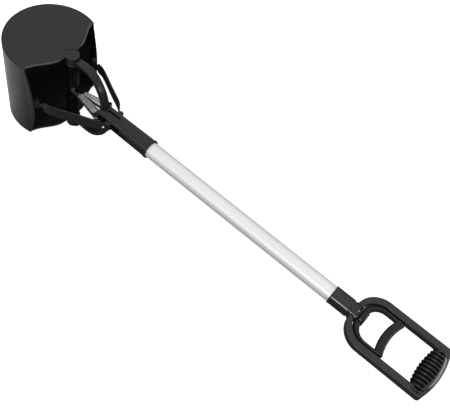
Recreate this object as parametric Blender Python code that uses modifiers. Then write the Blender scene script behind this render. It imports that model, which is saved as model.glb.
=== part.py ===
"""Spring-closed jaw scooper for picking up after a dog, modelled piece by piece.

Two half-drum jaws hang on one upright hinge rod, which a forked neck carries. A trigger in the
D-handle pulls a rod inside the tube; the rod pulls a slider in the neck, and two pull arms swing
the jaws open. Two extension springs in a V pull the slider back and hold the jaws shut.

Tool frame: the hinge axis is X = 0, the tube's axis is Z = 0, +X runs towards the grip, and the
drum's axis is +Z. One empty lifts that frame so that the lowest face lies on the ground.
All sizes are in metres.
"""

import math

import bmesh
import bpy
from mathutils import Matrix, Vector

# Fits that every piece shares
GAP = 0.0003
OVERRUN = 0.003
EDGE = 0.0008
ROUND_SIDES = 32
SMALL_SIDES = 16

# Drum formed by the two jaws
DRUM_RADIUS = 0.072
DRUM_CENTRE_X = -0.043
DRUM_HEIGHT = 0.150
DRUM_SIDES = 44
JAW_WALL = 0.0025
PLATE_THICK = 0.003
RIM_PROUD = 0.0006
PARTING_HALF_GAP = 0.00025
CORNER_X = -0.0262
WALL_TIP_X = -0.0115
WALL_TIP_TUCK = 0.0042
WALL_BULGE_SKEW = 0.66
BACK_EDGE_DIP = 0.007
BACK_EDGE_SHARE = 0.47

# Hinge between the jaws and the fork
HINGE_ROD_RADIUS = 0.003
EAR_RADIUS = 0.011
JAW_EAR_THICK = 0.006
BARREL_RADIUS = 0.0095
SPRING_WINDOW_HALF = 0.010
PAD_REACH_X = -0.015
PAD_REACH_Y = 0.019
PAD_RADIUS = 0.006
HINGE_CAP_RADIUS = 0.006
HINGE_CAP_THICK = 0.0022
ROD_TOP_COVER = 0.002

# Pull-arm lugs on the jaws
LUG_X = -0.015
LUG_INSET = 0.0068
LUG_RADIUS = 0.006
LUG_CHEEK_THICK = 0.003
LUG_PIN_RADIUS = 0.002
JAW_SWING_DEG = 26.0

# Fork and neck
FORK_UPPER_EAR_THICK = 0.006
FORK_LOWER_EAR_THICK = 0.0085
FORK_WIDTH = 0.013
FORK_BAND = 0.0075
FORK_ROOT_REACH = 0.0096
UPPER_BOW_TOP = 0.0722
UPPER_BOW_START_X = 0.020
UPPER_BOW_TOP_X = 0.029
UPPER_ROOT_X = 0.0725
LOWER_BOW_TOP = 0.0722
LOWER_BOW_START_X = 0.019
LOWER_BOW_TOP_X = 0.031
LOWER_ROOT_X = 0.083
BOW_SHARES = ((0.30, 0.045), (0.52, 0.17), (0.72, 0.36), (0.87, 0.58), (0.96, 0.80), (1.0, 1.0))
NECK_FRONT_X = 0.064
NECK_END_X = 0.164
NECK_FRONT_RADIUS = 0.0138
NECK_END_RADIUS = 0.0148
NECK_LIP_RADIUS = 0.0154
NECK_LIP_LENGTH = 0.004
NECK_BORE_RADIUS = 0.0105
NECK_SPINE_HALF = 0.006
WINDOW_HALF_HEIGHT = 0.0074
WINDOW_END_X = 0.126
GUIDE_SLOT_WIDTH = 0.0034

# Tube and pull rod
TUBE_RADIUS = 0.0127
TUBE_WALL = 0.0013
TUBE_START_X = 0.130
TUBE_END_X = 0.532
PULL_ROD_RADIUS = 0.003
ROD_NUT_RADIUS = 0.0055
ROD_NUT_THICK = 0.0035

# Slider in the neck
SLIDER_HALF_WIDTH = 0.0055
SLIDER_HALF_HEIGHT = 0.0083
SLIDER_FRONT_X = 0.0625
SLIDER_LENGTH = 0.036
SLIDER_PLATE_THICK = 0.0025
WING_X = 0.064
WING_Y = 0.015
WING_RADIUS = 0.0035
ARM_EAR_X = 0.088
ARM_EAR_Y = 0.011
ARM_EAR_RADIUS = 0.005
ARM_PIN_RADIUS = 0.002
KEY_WIDTH = 0.0026
KEY_LENGTH = 0.006

# Pull arms
ARM_THICK = 0.0021
ARM_HALF_HEIGHT = 0.0105
ARM_EYE_HALF_THICK = 0.004
ARM_EYE_RADIUS = 0.0045
ARM_BEND_SHARES = ((0.1068, 0.936), (0.2233, 0.910), (0.3592, 0.786), (0.5825, 0.556),
                   (0.8204, 0.334), (0.8883, 0.244), (0.9709, 0.044))
ARM_BEND_RADIUS = 0.007
ARM_NARROW_X = 0.012
ARM_NARROW_Y = 0.0185

# Springs
SPRING_WIRE_RADIUS = 0.0006
SPRING_COIL_RADIUS = 0.0041
SPRING_TURNS = 24
SPRING_POINTS_PER_TURN = 8
SPRING_BODY_START = 0.019
SPRING_BODY_LENGTH = 0.0385
SPRING_HINGE_Z = 0.0033
SPRING_PIN_RADIUS = 0.0018

# Handle
COLLAR_START_X = 0.5055
COLLAR_RADIUS = 0.0138
COLLAR_LIP = 0.0004
HANDLE_FRONT_X = 0.541
HANDLE_END_X = 0.688
HANDLE_HALF_WIDTH = 0.046
HANDLE_HALF_THICK = 0.006
HANDLE_ROUNDING = 0.002
RAIL_WIDTH = 0.0115
HUB_HALF_WIDTH = 0.010
ARCH_WALL = 0.0075
INNER_FLAT = 0.005
END_CORNER_RADIUS = 0.010
END_BOW = 0.0055
END_BAR_X = 0.664
BAR_CORNER_RADIUS = 0.008
FLANGE_THICK = 0.0088
FLANGE_HALF_HEIGHT = 0.0105
FLANGE_HALF_LENGTH = 0.032
BOW_SPAN_SHARES = (1.0, 0.66, 0.33, 0.0, -0.33, -0.66, -1.0)
SPLIT_HALF_GAP = 0.00015
GROOVE_DEPTH = 0.0033
GROOVE_HALF_HEIGHT = 0.002

# Trigger
TRIGGER_HALF_THICK = 0.005
TRIGGER_ROUNDING = 0.0012
TRIGGER_SIDE = 0.005
TRIGGER_ARCH = 0.011
LOOP_FLAT = 0.009
TRIGGER_HUB_RADIUS = 0.0105
TRIGGER_HUB_PROUD = 0.003
TRIGGER_BAR_X = 0.5995
TRIGGER_BAR_WIDTH = 0.0145
TRIGGER_BAR_BOW = 0.004
TRIGGER_FIT = 0.0005
TONGUE_HALF_HEIGHT = 0.0015
TONGUE_LEAD = 0.0015
TONGUE_LENGTH = 0.024

# Grip
GRIP_RADIUS = 0.013
GRIP_END_RADIUS = 0.0078
GRIP_HALF_LENGTH = 0.038
GRIP_RIBS = 11
GRIP_RIB_HEIGHT = 0.0012
GRIP_AXIS_X = 0.6645
GRIP_CLEARANCE = 0.0005
GRIP_SIDES = 18

# Screws
SCREW_RADIUS = 0.0015
SCREW_HEAD_RADIUS = 0.003
SCREW_HEAD_THICK = 0.0018
SCREW_LENGTH = 0.0088
HANDLE_SCREW_LEAD = 0.004
HANDLE_SCREW_REAR_X = 0.6480
HANDLE_SCREW_INSET = 0.0037
SET_SCREW_RADIUS = 0.002
NECK_SCREW_X = 0.148
COLLAR_SCREW_X = 0.519

# Places worked out from the sizes above
HALF_DRUM = DRUM_HEIGHT / 2
LOWEST = HALF_DRUM + GAP + FORK_LOWER_EAR_THICK
FRONT_X = DRUM_CENTRE_X - DRUM_RADIUS
MIDDLE_X = (FRONT_X + HANDLE_END_X) / 2
SWING = math.radians(JAW_SWING_DEG)
WALL_TIP_Y = DRUM_RADIUS - WALL_TIP_TUCK
LUG_Y = WALL_TIP_Y - LUG_INSET
LUG_REACH = math.hypot(LUG_X, LUG_Y)
LUG_ANGLE = math.atan2(LUG_Y, LUG_X)
TRAVEL = LUG_REACH * (math.cos(LUG_ANGLE - SWING) - math.cos(LUG_ANGLE))
ARM_SIDE_SHIFT = LUG_REACH - LUG_Y
ARCH_RADIUS = HANDLE_HALF_WIDTH - HUB_HALF_WIDTH
ARCH_INNER_RADIUS = HANDLE_HALF_WIDTH - RAIL_WIDTH - INNER_FLAT
TRIGGER_INNER_RADIUS = ARCH_INNER_RADIUS + INNER_FLAT - TRIGGER_FIT - TRIGGER_SIDE - LOOP_FLAT
TONGUE_START_X = HANDLE_FRONT_X + ARCH_WALL + ARCH_INNER_RADIUS + TONGUE_LEAD
HANDLE_SCREW_FRONT_X = TONGUE_START_X + HANDLE_SCREW_LEAD
HANDLE_SCREW_Y = HANDLE_HALF_WIDTH - HANDLE_SCREW_INSET


def collection(name):
    """Make a collection under the scene's own."""
    group = bpy.data.collections.new(name)
    bpy.context.scene.collection.children.link(group)
    return group


def finish(name, colour, roughness, metallic):
    """Make a Principled material."""
    material = bpy.data.materials.new(name)
    material.use_nodes = True
    shader = material.node_tree.nodes["Principled BSDF"]
    shader.inputs["Base Color"].default_value = (*colour, 1.0)
    shader.inputs["Roughness"].default_value = roughness
    shader.inputs["Metallic"].default_value = metallic
    return material


def put(mesh_or_curve, name, as_cutter=False):
    """Put data into an object of the tool's frame, among the pieces or among the cutters."""
    item = bpy.data.objects.new(name, mesh_or_curve)
    item.parent = tool_frame
    if as_cutter:
        item.hide_render = True
        item.display_type = "WIRE"
        cutters.objects.link(item)
    else:
        pieces.objects.link(item)
    return item


def baked(item, placing=None):
    """Return a clean closed mesh of an object as it is evaluated, and remove the object."""
    bpy.context.view_layer.update()
    graph = bpy.context.evaluated_depsgraph_get()
    mesh = bpy.data.meshes.new_from_object(item.evaluated_get(graph))
    bpy.data.objects.remove(item)
    shape = bmesh.new()
    shape.from_mesh(mesh)
    bmesh.ops.remove_doubles(shape, verts=shape.verts, dist=1e-6)
    if placing is not None:
        bmesh.ops.transform(shape, matrix=placing, verts=shape.verts)
    bmesh.ops.recalc_face_normals(shape, faces=shape.faces)
    shape.to_mesh(mesh)
    shape.free()
    return mesh


AXIS_TURN = {
    "Z": Matrix.Identity(4),
    "Y": Matrix(((1, 0, 0, 0), (0, 0, -1, 0), (0, 1, 0, 0), (0, 0, 0, 1))),
    "X": Matrix(((0, 0, 1, 0), (1, 0, 0, 0), (0, 1, 0, 0), (0, 0, 0, 1))),
}


def prism(name, outlines, low, high, axis="Z", rounding=0.0, as_cutter=True):
    """Extrude flat closed outlines between two heights, with rounded edges where asked.

    Outlines are in X,Y for axis Z, in X,Z for axis Y and in Y,Z for axis X. A second outline
    inside the first is a hole.
    """
    curve = bpy.data.curves.new(name, "CURVE")
    curve.dimensions = "2D"
    curve.fill_mode = "BOTH"
    curve.extrude = (high - low) / 2 - rounding
    curve.bevel_depth = rounding
    curve.bevel_resolution = 1
    curve.offset = -rounding
    for outline in outlines:
        spline = curve.splines.new("POLY")
        spline.points.add(len(outline) - 1)
        for point, (u, v) in zip(spline.points, outline):
            point.co = (u, v, 0.0, 1.0)
        spline.use_cyclic_u = True
    item = put(curve, name + "_outline", as_cutter=True)
    middle = (low + high) / 2
    along = {"Z": Vector((0, 0, middle)), "Y": Vector((0, middle, 0)), "X": Vector((middle, 0, 0))}
    mesh = baked(item, Matrix.Translation(along[axis]) @ AXIS_TURN[axis])
    return put(mesh, name, as_cutter)


def turned(name, profile, centre=(0, 0, 0), axis="Z", sides=ROUND_SIDES, as_cutter=True, ring=False):
    """Turn a profile of (radius, height) points, given from top to bottom, about an axis."""
    mesh = bpy.data.meshes.new(name)
    edges = [(i, i + 1) for i in range(len(profile) - 1)]
    if ring:
        edges.append((len(profile) - 1, 0))
    mesh.from_pydata([(radius, 0, height) for radius, height in profile], edges, [])
    item = put(mesh, name + "_profile", as_cutter=True)
    screw = item.modifiers.new("turn", "SCREW")
    screw.steps = sides
    screw.render_steps = sides
    screw.use_merge_vertices = True
    screw.merge_threshold = 0.00001
    placing = Matrix.Translation(Vector(centre)) @ AXIS_TURN[axis]
    return put(baked(item, placing), name, as_cutter)


def cylinder(name, radius, low, high, centre=(0, 0), axis="Z", sides=ROUND_SIDES, as_cutter=True):
    """Make a closed cylinder between two heights along an axis."""
    shape = bmesh.new()
    bmesh.ops.create_cone(shape, cap_ends=True, segments=sides, radius1=radius, radius2=radius,
                          depth=high - low)
    middle = (low + high) / 2
    a, b = centre
    spot = {"Z": (a, b, middle), "Y": (a, middle, b), "X": (middle, a, b)}[axis]
    placing = Matrix.Translation(Vector(spot)) @ AXIS_TURN[axis]
    bmesh.ops.transform(shape, matrix=placing, verts=shape.verts)
    mesh = bpy.data.meshes.new(name)
    shape.to_mesh(mesh)
    shape.free()
    return put(mesh, name, as_cutter)


def block(name, low, high, as_cutter=True):
    """Make a closed box between two corners."""
    shape = bmesh.new()
    bmesh.ops.create_cube(shape, size=1.0)
    size = [b - a for a, b in zip(low, high)]
    middle = [(a + b) / 2 for a, b in zip(low, high)]
    placing = Matrix.Translation(Vector(middle)) @ Matrix.Diagonal((*size, 1.0))
    bmesh.ops.transform(shape, matrix=placing, verts=shape.verts)
    mesh = bpy.data.meshes.new(name)
    shape.to_mesh(mesh)
    shape.free()
    return put(mesh, name, as_cutter)


def combine(target, tool, operation):
    """Add or cut a tool with a live Boolean."""
    boolean = target.modifiers.new(tool.name, "BOOLEAN")
    boolean.operation = operation
    boolean.object = tool


def add(target, *tools):
    for tool in tools:
        combine(target, tool, "UNION")


def cut(target, *tools):
    for tool in tools:
        combine(target, tool, "DIFFERENCE")


def dress(item, material, origin=(0, 0, 0)):
    """Give a piece its material, smooth round sides and its origin on its joint's axis."""
    item.data.transform(Matrix.Translation(-Vector(origin)))
    item.location = origin
    item.data.materials.clear()
    item.data.materials.append(material)
    item.data.shade_smooth()
    item.data.set_sharp_from_angle(angle=math.radians(35))
    return item


def arc(centre, radius, start, end, steps):
    """Points on a circle from one angle to another, in degrees."""
    points = []
    for i in range(steps + 1):
        angle = math.radians(start + (end - start) * i / steps)
        points.append((centre[0] + radius * math.cos(angle), centre[1] + radius * math.sin(angle)))
    return points


def bend(points, radius, steps=5):
    """Round the inner corners of an open path with arcs of about the given radius."""
    path = [points[0]]
    for before, corner, after in zip(points, points[1:], points[2:]):
        here = Vector(corner)
        back = (Vector(before) - here)
        ahead = (Vector(after) - here)
        reach = min(radius, back.length / 2, ahead.length / 2)
        first = here + back.normalized() * reach
        last = here + ahead.normalized() * reach
        for i in range(steps + 1):
            share = i / steps
            blend = first * (1 - share) ** 2 + here * 2 * share * (1 - share) + last * share ** 2
            path.append((blend.x, blend.y))
    path.append(points[-1])
    return path


def ribbon(path, left, right):
    """Closed outline of a band that runs along a path, offset to its left and right."""
    sides = ([], [])
    for i, point in enumerate(path):
        before = Vector(path[max(i - 1, 0)])
        after = Vector(path[min(i + 1, len(path) - 1)])
        ahead = (after - before).normalized()
        normal = Vector((-ahead.y, ahead.x))
        sides[0].append(tuple(Vector(point) + normal * left))
        sides[1].append(tuple(Vector(point) - normal * right))
    return sides[0] + sides[1][::-1]


def hull_of_circles(first, first_radius, second, second_radius, steps=10):
    """Outline of two circles and the straight tangents that join them."""
    towards = Vector(second) - Vector(first)
    heading = math.degrees(math.atan2(towards.y, towards.x))
    lean = math.degrees(math.asin((first_radius - second_radius) / towards.length))
    start = arc(first, first_radius, heading + 90 - lean, heading + 270 + lean, steps)
    end = arc(second, second_radius, heading - 90 + lean, heading + 90 - lean, steps)
    return start + end


def mirrored(outline, side):
    """Take an outline drawn for +Y to the side asked for."""
    return [(x, side * y) for x, y in outline]


def corner_degrees():
    return math.degrees(math.acos((CORNER_X - DRUM_CENTRE_X) / DRUM_RADIUS))


def wall_outline():
    """Plan of one jaw's wall: round to the corner, then straight on to its tip."""
    outer_gap = math.degrees(math.asin(PARTING_HALF_GAP / DRUM_RADIUS))
    inner_radius = DRUM_RADIUS - JAW_WALL
    inner_gap = math.degrees(math.asin(PARTING_HALF_GAP / inner_radius))
    centre = (DRUM_CENTRE_X, 0)
    outer = arc(centre, DRUM_RADIUS, 180 - outer_gap, corner_degrees(), DRUM_SIDES // 2)
    inner = arc(centre, inner_radius, corner_degrees(), 180 - inner_gap, DRUM_SIDES // 2)
    tip = [(WALL_TIP_X, WALL_TIP_Y), (WALL_TIP_X, WALL_TIP_Y - JAW_WALL)]
    return outer + tip + inner


def wall_trim_outline():
    """Side view of what is cut off behind the wall's bowed back edge."""
    steps = 12
    reach = WALL_TIP_X + OVERRUN
    bowed = []
    for i in range(steps + 1):
        height = -HALF_DRUM + DRUM_HEIGHT * i / steps
        bulge = (WALL_TIP_X - CORNER_X) * math.sin(math.pi * (i / steps) ** WALL_BULGE_SKEW)
        bowed.append((CORNER_X + bulge - EDGE / 2, height))
    low = [(reach, -HALF_DRUM - OVERRUN), (CORNER_X - EDGE / 2, -HALF_DRUM - OVERRUN)]
    high = [(CORNER_X - EDGE / 2, HALF_DRUM + OVERRUN), (reach, HALF_DRUM + OVERRUN)]
    return low + bowed + high


def plate_outline():
    """Plan of an end plate: round front, S-shaped back edge that runs into the hinge ear."""
    radius = DRUM_RADIUS - RIM_PROUD
    gap = math.degrees(math.asin(PARTING_HALF_GAP / radius))
    front = arc((DRUM_CENTRE_X, 0), radius, 180 - gap, corner_degrees(), DRUM_SIDES // 2)
    start = Vector(front[-1])
    end = Vector((-BARREL_RADIUS / 3, EAR_RADIUS))
    reach = (start.y - end.y) * BACK_EDGE_SHARE
    swing_in = start + Vector((BACK_EDGE_DIP, -reach))
    swing_out = end + Vector((0, reach))
    back = []
    steps = 9
    for i in range(1, steps + 1):
        t = i / steps
        point = (start * (1 - t) ** 3 + swing_in * 3 * t * (1 - t) ** 2
                 + swing_out * 3 * t * t * (1 - t) + end * t ** 3)
        back.append((point.x, point.y))
    return front + back + [(-BARREL_RADIUS / 3, PARTING_HALF_GAP)]


def lug_cheek_outline():
    """Plan of one cheek of the pull-arm lug, from its round nose into the wall."""
    into_wall = WALL_TIP_Y - JAW_WALL / 2
    nose = arc((LUG_X, LUG_Y), LUG_RADIUS, 180, 360, 10)
    return nose + [(WALL_TIP_X - EDGE, into_wall), (LUG_X - LUG_RADIUS, into_wall)]


def jaw(name, side, outer_end, inner_level):
    """One jaw. Its ear at outer_end is flush with the drum; the other one lies at inner_level.

    side is -1 for the left jaw and 1 for the right. outer_end and the signs below it say at
    which end of the drum the outer ear is, and inner_level is the distance of the inner ear's
    outer face from the middle of the drum.
    """
    body = prism(name, [mirrored(wall_outline(), side)], -HALF_DRUM, HALF_DRUM, as_cutter=False)
    far_y = DRUM_RADIUS + OVERRUN
    near_y = WALL_TIP_Y - JAW_WALL - OVERRUN
    span = sorted((side * near_y, side * far_y))
    cut(body, prism(name + "_back_trim", [wall_trim_outline()], *span, axis="Y"))

    plate_top = HALF_DRUM - RIM_PROUD
    for end in (-1, 1):
        heights = sorted((end * plate_top, end * (plate_top - PLATE_THICK)))
        add(body, prism(f"{name}_plate_{end}", [mirrored(plate_outline(), side)], *heights))

    inner_end = -outer_end
    pad_outline = hull_of_circles((0, 0), EAR_RADIUS, (PAD_REACH_X, PAD_REACH_Y), PAD_RADIUS)
    pad_start = inner_level - JAW_EAR_THICK
    heights = sorted((inner_end * pad_start, inner_end * (plate_top - PLATE_THICK / 2)))
    add(body, prism(name + "_pad", [mirrored(pad_outline, side)], *heights))
    clear_radius = EAR_RADIUS + 2 * GAP
    heights = sorted((inner_end * inner_level, inner_end * (HALF_DRUM + OVERRUN)))
    clearance = cylinder(name + "_ear_clearance", clear_radius, *heights)
    widths = sorted((0, -side * (EAR_RADIUS + OVERRUN)))
    beyond = block(name + "_other_half", (-2 * EAR_RADIUS, widths[0], heights[0] + GAP / 2),
                   (-BARREL_RADIUS, widths[1], heights[1] - GAP / 2))
    add(clearance, beyond)
    cut(body, clearance)

    heights = sorted((outer_end * HALF_DRUM, outer_end * (HALF_DRUM - JAW_EAR_THICK)))
    add(body, cylinder(name + "_outer_ear", EAR_RADIUS, *heights))
    heights = sorted((inner_end * SPRING_WINDOW_HALF, inner_end * (inner_level - GAP)))
    add(body, cylinder(name + "_barrel", BARREL_RADIUS, *heights))

    heights = sorted((outer_end * (HALF_DRUM - ROD_TOP_COVER), inner_end * (HALF_DRUM + OVERRUN)))
    if outer_end < 0:
        heights = [-HALF_DRUM - OVERRUN, HALF_DRUM]
    cut(body, cylinder(name + "_hinge_bore", HINGE_ROD_RADIUS + GAP, *heights))

    cheek_in = ARM_EYE_HALF_THICK + GAP
    for end in (-1, 1):
        heights = sorted((end * cheek_in, end * (cheek_in + LUG_CHEEK_THICK)))
        add(body, prism(f"{name}_cheek_{end}", [mirrored(lug_cheek_outline(), side)], *heights))
    reach = cheek_in + LUG_CHEEK_THICK + OVERRUN
    cut(body, cylinder(name + "_lug_bore", LUG_PIN_RADIUS + GAP, -reach, reach,
                       (LUG_X, side * LUG_Y), sides=SMALL_SIDES))
    return dress(body, black_gloss)


def lug_pin(name, side):
    """Pivot pin that holds a pull arm in its lug."""
    half = ARM_EYE_HALF_THICK + GAP + LUG_CHEEK_THICK + EDGE
    pin = cylinder(name, LUG_PIN_RADIUS, -half, half, (LUG_X, side * LUG_Y), sides=SMALL_SIDES,
                   as_cutter=False)
    return dress(pin, steel, (LUG_X, side * LUG_Y, 0))


def hinge_rod():
    """Steel rod that runs up through the fork's ears and both jaws."""
    low = -LOWEST + HINGE_CAP_THICK + 2 * GAP
    high = HALF_DRUM - ROD_TOP_COVER - GAP
    return dress(cylinder("hinge_rod", HINGE_ROD_RADIUS, low, high, as_cutter=False), steel)


def hinge_cap():
    """Pressed cap that closes the fork's lower ear under the rod."""
    cap = cylinder("hinge_cap", HINGE_CAP_RADIUS - GAP, -LOWEST, -LOWEST + HINGE_CAP_THICK,
                   as_cutter=False)
    return dress(cap, steel)


def bow_outline(ear_low, ear_high, bow_top, start_x, bow_x, root_x):
    """Side view of one fork arm, drawn upwards: out of its ear, over the bow, into the neck."""
    outer = [(0, ear_high), (EAR_RADIUS, ear_high), (start_x, bow_top - EDGE), (bow_x, bow_top)]
    drop = bow_top - NECK_BORE_RADIUS - EDGE
    for along_share, drop_share in BOW_SHARES:
        x = bow_x + (root_x - bow_x) * along_share
        outer.append((x, bow_top - drop * drop_share))
    inner = []
    for (x0, z0), (x1, z1) in zip(outer[3:], outer[4:]):
        ahead = Vector((x1 - x0, z1 - z0)).normalized()
        inner.append((x0 + ahead.y * FORK_BAND, z0 - ahead.x * FORK_BAND))
    last = outer[-1]
    inner.append((last[0] - FORK_ROOT_REACH, last[1]))
    inner.append((EAR_RADIUS + 3 * GAP, bow_top - FORK_BAND))
    inner.sort(key=lambda point: -point[0])
    return outer + inner + [(EAR_RADIUS + 3 * GAP, ear_low), (0, ear_low)]


def neck():
    """Moulded socket that holds the tube, with the two fork arms that carry the hinge."""
    back = NECK_END_X
    lip = NECK_LIP_LENGTH
    profile = [
        (0, back), (NECK_LIP_RADIUS - EDGE, back), (NECK_LIP_RADIUS, back - EDGE),
        (NECK_LIP_RADIUS, back - lip), (NECK_END_RADIUS, back - lip - EDGE),
        (NECK_FRONT_RADIUS, NECK_FRONT_X + EDGE), (NECK_FRONT_RADIUS - EDGE, NECK_FRONT_X),
        (0, NECK_FRONT_X),
    ]
    body = turned("neck", profile, axis="X", as_cutter=False)
    half_width = FORK_WIDTH / 2
    upper_top = HALF_DRUM - JAW_EAR_THICK - GAP
    upper_low = upper_top - FORK_UPPER_EAR_THICK
    upper = bow_outline(upper_low, upper_top, UPPER_BOW_TOP, UPPER_BOW_START_X,
                        UPPER_BOW_TOP_X, UPPER_ROOT_X)
    add(body, prism("fork_upper_bow", [upper], -half_width, half_width, axis="Y"))
    add(body, cylinder("fork_upper_ear", EAR_RADIUS, upper_low, upper_top))
    lower = bow_outline(HALF_DRUM + GAP + EDGE / 2, LOWEST - EDGE, LOWER_BOW_TOP,
                        LOWER_BOW_START_X, LOWER_BOW_TOP_X, LOWER_ROOT_X)
    lower = [(x, -z) for x, z in lower]
    add(body, prism("fork_lower_bow", [lower], -half_width, half_width, axis="Y"))
    add(body, cylinder("fork_lower_ear", EAR_RADIUS, -LOWEST, -HALF_DRUM - GAP))

    cut(body, cylinder("neck_bore", NECK_BORE_RADIUS, NECK_FRONT_X - OVERRUN,
                       TUBE_START_X + OVERRUN, axis="X"))
    cut(body, cylinder("neck_socket", TUBE_RADIUS + GAP, TUBE_START_X - GAP,
                       NECK_END_X + OVERRUN, axis="X"))
    for side in (-1, 1):
        ends = sorted((side * NECK_SPINE_HALF, side * (NECK_END_RADIUS + 2 * OVERRUN)))
        cut(body, block(f"neck_window_{side}",
                        (NECK_FRONT_X - OVERRUN, ends[0], -WINDOW_HALF_HEIGHT),
                        (WINDOW_END_X, ends[1], WINDOW_HALF_HEIGHT)))
    slot_half = GUIDE_SLOT_WIDTH / 2
    slot_end = SLIDER_FRONT_X + KEY_LENGTH + TRAVEL + 2 * EDGE
    cut(body, block("neck_guide_slot", (NECK_FRONT_X - OVERRUN, -slot_half, SLIDER_HALF_HEIGHT),
                    (slot_end, slot_half, NECK_END_RADIUS + OVERRUN)))
    cut(body, cylinder("neck_hinge_bore", HINGE_ROD_RADIUS + GAP, -LOWEST - OVERRUN,
                       HALF_DRUM + OVERRUN))
    cut(body, cylinder("neck_cap_seat", HINGE_CAP_RADIUS, -LOWEST - OVERRUN,
                       -LOWEST + HINGE_CAP_THICK + GAP))
    cut(body, set_screw_hole("neck_screw_hole", NECK_SCREW_X))
    return dress(body, black_satin)


def set_screw_hole(name, x):
    """Cutter for a set screw that comes up through a socket's underside into the tube."""
    return cylinder(name, SET_SCREW_RADIUS + GAP, -NECK_LIP_RADIUS - OVERRUN, -TUBE_RADIUS / 2,
                    (x, 0), sides=SMALL_SIDES)


def set_screw(name, x, radius):
    """Headless screw that holds the tube in a socket of the given outer radius."""
    low = -radius + EDGE
    high = -TUBE_RADIUS + TUBE_WALL + GAP
    profile = [
        (0, high), (SET_SCREW_RADIUS - GAP, high), (SET_SCREW_RADIUS, high - GAP),
        (SET_SCREW_RADIUS, low), (SET_SCREW_RADIUS / 2, low),
        (SET_SCREW_RADIUS / 2, low + EDGE), (0, low + EDGE),
    ]
    item = turned(name, profile, (x, 0, 0), sides=SMALL_SIDES, as_cutter=False)
    return dress(item, steel)


def screw(name, x, y, head_z, length):
    """Screw that stands head down with its flat head's face at head_z."""
    profile = [
        (0, head_z + SCREW_HEAD_THICK + length), (SCREW_RADIUS - GAP, head_z + SCREW_HEAD_THICK + length),
        (SCREW_RADIUS, head_z + SCREW_HEAD_THICK + length - GAP),
        (SCREW_RADIUS, head_z + SCREW_HEAD_THICK), (SCREW_HEAD_RADIUS, head_z + SCREW_HEAD_THICK),
        (SCREW_HEAD_RADIUS, head_z + GAP), (SCREW_HEAD_RADIUS - GAP, head_z), (0, head_z),
    ]
    item = turned(name, profile, (x, y, 0), sides=SMALL_SIDES, as_cutter=False)
    return dress(item, steel)


def tube():
    """Drawn tube between the neck and the handle."""
    inner = TUBE_RADIUS - TUBE_WALL
    profile = [(TUBE_RADIUS, TUBE_END_X), (TUBE_RADIUS, TUBE_START_X), (inner, TUBE_START_X),
               (inner, TUBE_END_X)]
    body = turned("shaft_tube", profile, axis="X", as_cutter=False, ring=True)
    for name, x in (("tube_neck_hole", NECK_SCREW_X), ("tube_collar_hole", COLLAR_SCREW_X)):
        cut(body, set_screw_hole(name, x))
    return dress(body, aluminium)


def slider():
    """Moulded slider: two plates with wings for the springs and ears for the arms, and a spine."""
    back = SLIDER_FRONT_X + SLIDER_LENGTH
    half = SLIDER_HALF_WIDTH
    body = block("slider", (SLIDER_FRONT_X, -half, -SLIDER_HALF_HEIGHT),
                 (back, half, SLIDER_HALF_HEIGHT), as_cutter=False)
    wing = hull_of_circles((WING_X, -WING_Y), WING_RADIUS, (WING_X, WING_Y), WING_RADIUS)
    slot_y = ARM_EAR_Y + ARM_SIDE_SHIFT
    ear = hull_of_circles((ARM_EAR_X, -slot_y), ARM_EAR_RADIUS, (ARM_EAR_X, slot_y),
                          ARM_EAR_RADIUS)
    near = ARM_EYE_HALF_THICK + GAP
    for end in (-1, 1):
        heights = sorted((end * near, end * (near + SLIDER_PLATE_THICK)))
        add(body, prism(f"slider_wings_{end}", [wing], *heights))
        add(body, prism(f"slider_ears_{end}", [ear], *heights))
    key_half = KEY_WIDTH / 2
    key_start = SLIDER_FRONT_X + EDGE
    add(body, block("slider_key", (key_start, -key_half, 0),
                    (key_start + KEY_LENGTH, key_half, NECK_FRONT_RADIUS - EDGE)))
    rod_seat = back - 2 * SLIDER_HALF_WIDTH
    cut(body, cylinder("slider_rod_hole", PULL_ROD_RADIUS + GAP, rod_seat - GAP, back + OVERRUN,
                       axis="X", sides=SMALL_SIDES))
    reach = near + SLIDER_PLATE_THICK + OVERRUN
    for side in (-1, 1):
        slot = hull_of_circles((ARM_EAR_X, side * ARM_EAR_Y), ARM_PIN_RADIUS + GAP,
                               (ARM_EAR_X, side * slot_y), ARM_PIN_RADIUS + GAP)
        cut(body, prism(f"slider_arm_slot_{side}", [slot], -reach, reach))
        cut(body, cylinder(f"slider_wing_bore_{side}", SPRING_PIN_RADIUS + GAP, -reach, reach,
                           (WING_X, side * WING_Y), sides=SMALL_SIDES))
    return dress(body, black_satin)


def pull_rod():
    """Steel rod from the slider through the tube to the trigger."""
    start = SLIDER_FRONT_X + SLIDER_LENGTH - 2 * SLIDER_HALF_WIDTH
    rod = cylinder("pull_rod", PULL_ROD_RADIUS, start, rod_end_x(), axis="X", sides=SMALL_SIDES,
                   as_cutter=False)
    return dress(rod, steel)


def trigger_front_x():
    return HANDLE_FRONT_X + ARCH_WALL + TRIGGER_FIT


def hub_end_x():
    return trigger_front_x() + TRIGGER_ARCH + TRIGGER_HUB_PROUD


def rod_end_x():
    return hub_end_x() - GAP


def nut_start_x():
    return hub_end_x() - EDGE - ROD_NUT_THICK


def rod_nut():
    """Nut that holds the rod's end, sunk in the trigger's hub."""
    start = nut_start_x()
    nut = cylinder("rod_nut", ROD_NUT_RADIUS, start, start + ROD_NUT_THICK, axis="X", sides=6,
                   as_cutter=False)
    cut(nut, cylinder("rod_nut_hole", PULL_ROD_RADIUS + GAP, start - OVERRUN,
                      start + ROD_NUT_THICK + OVERRUN, axis="X", sides=SMALL_SIDES))
    return dress(nut, steel)


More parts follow.
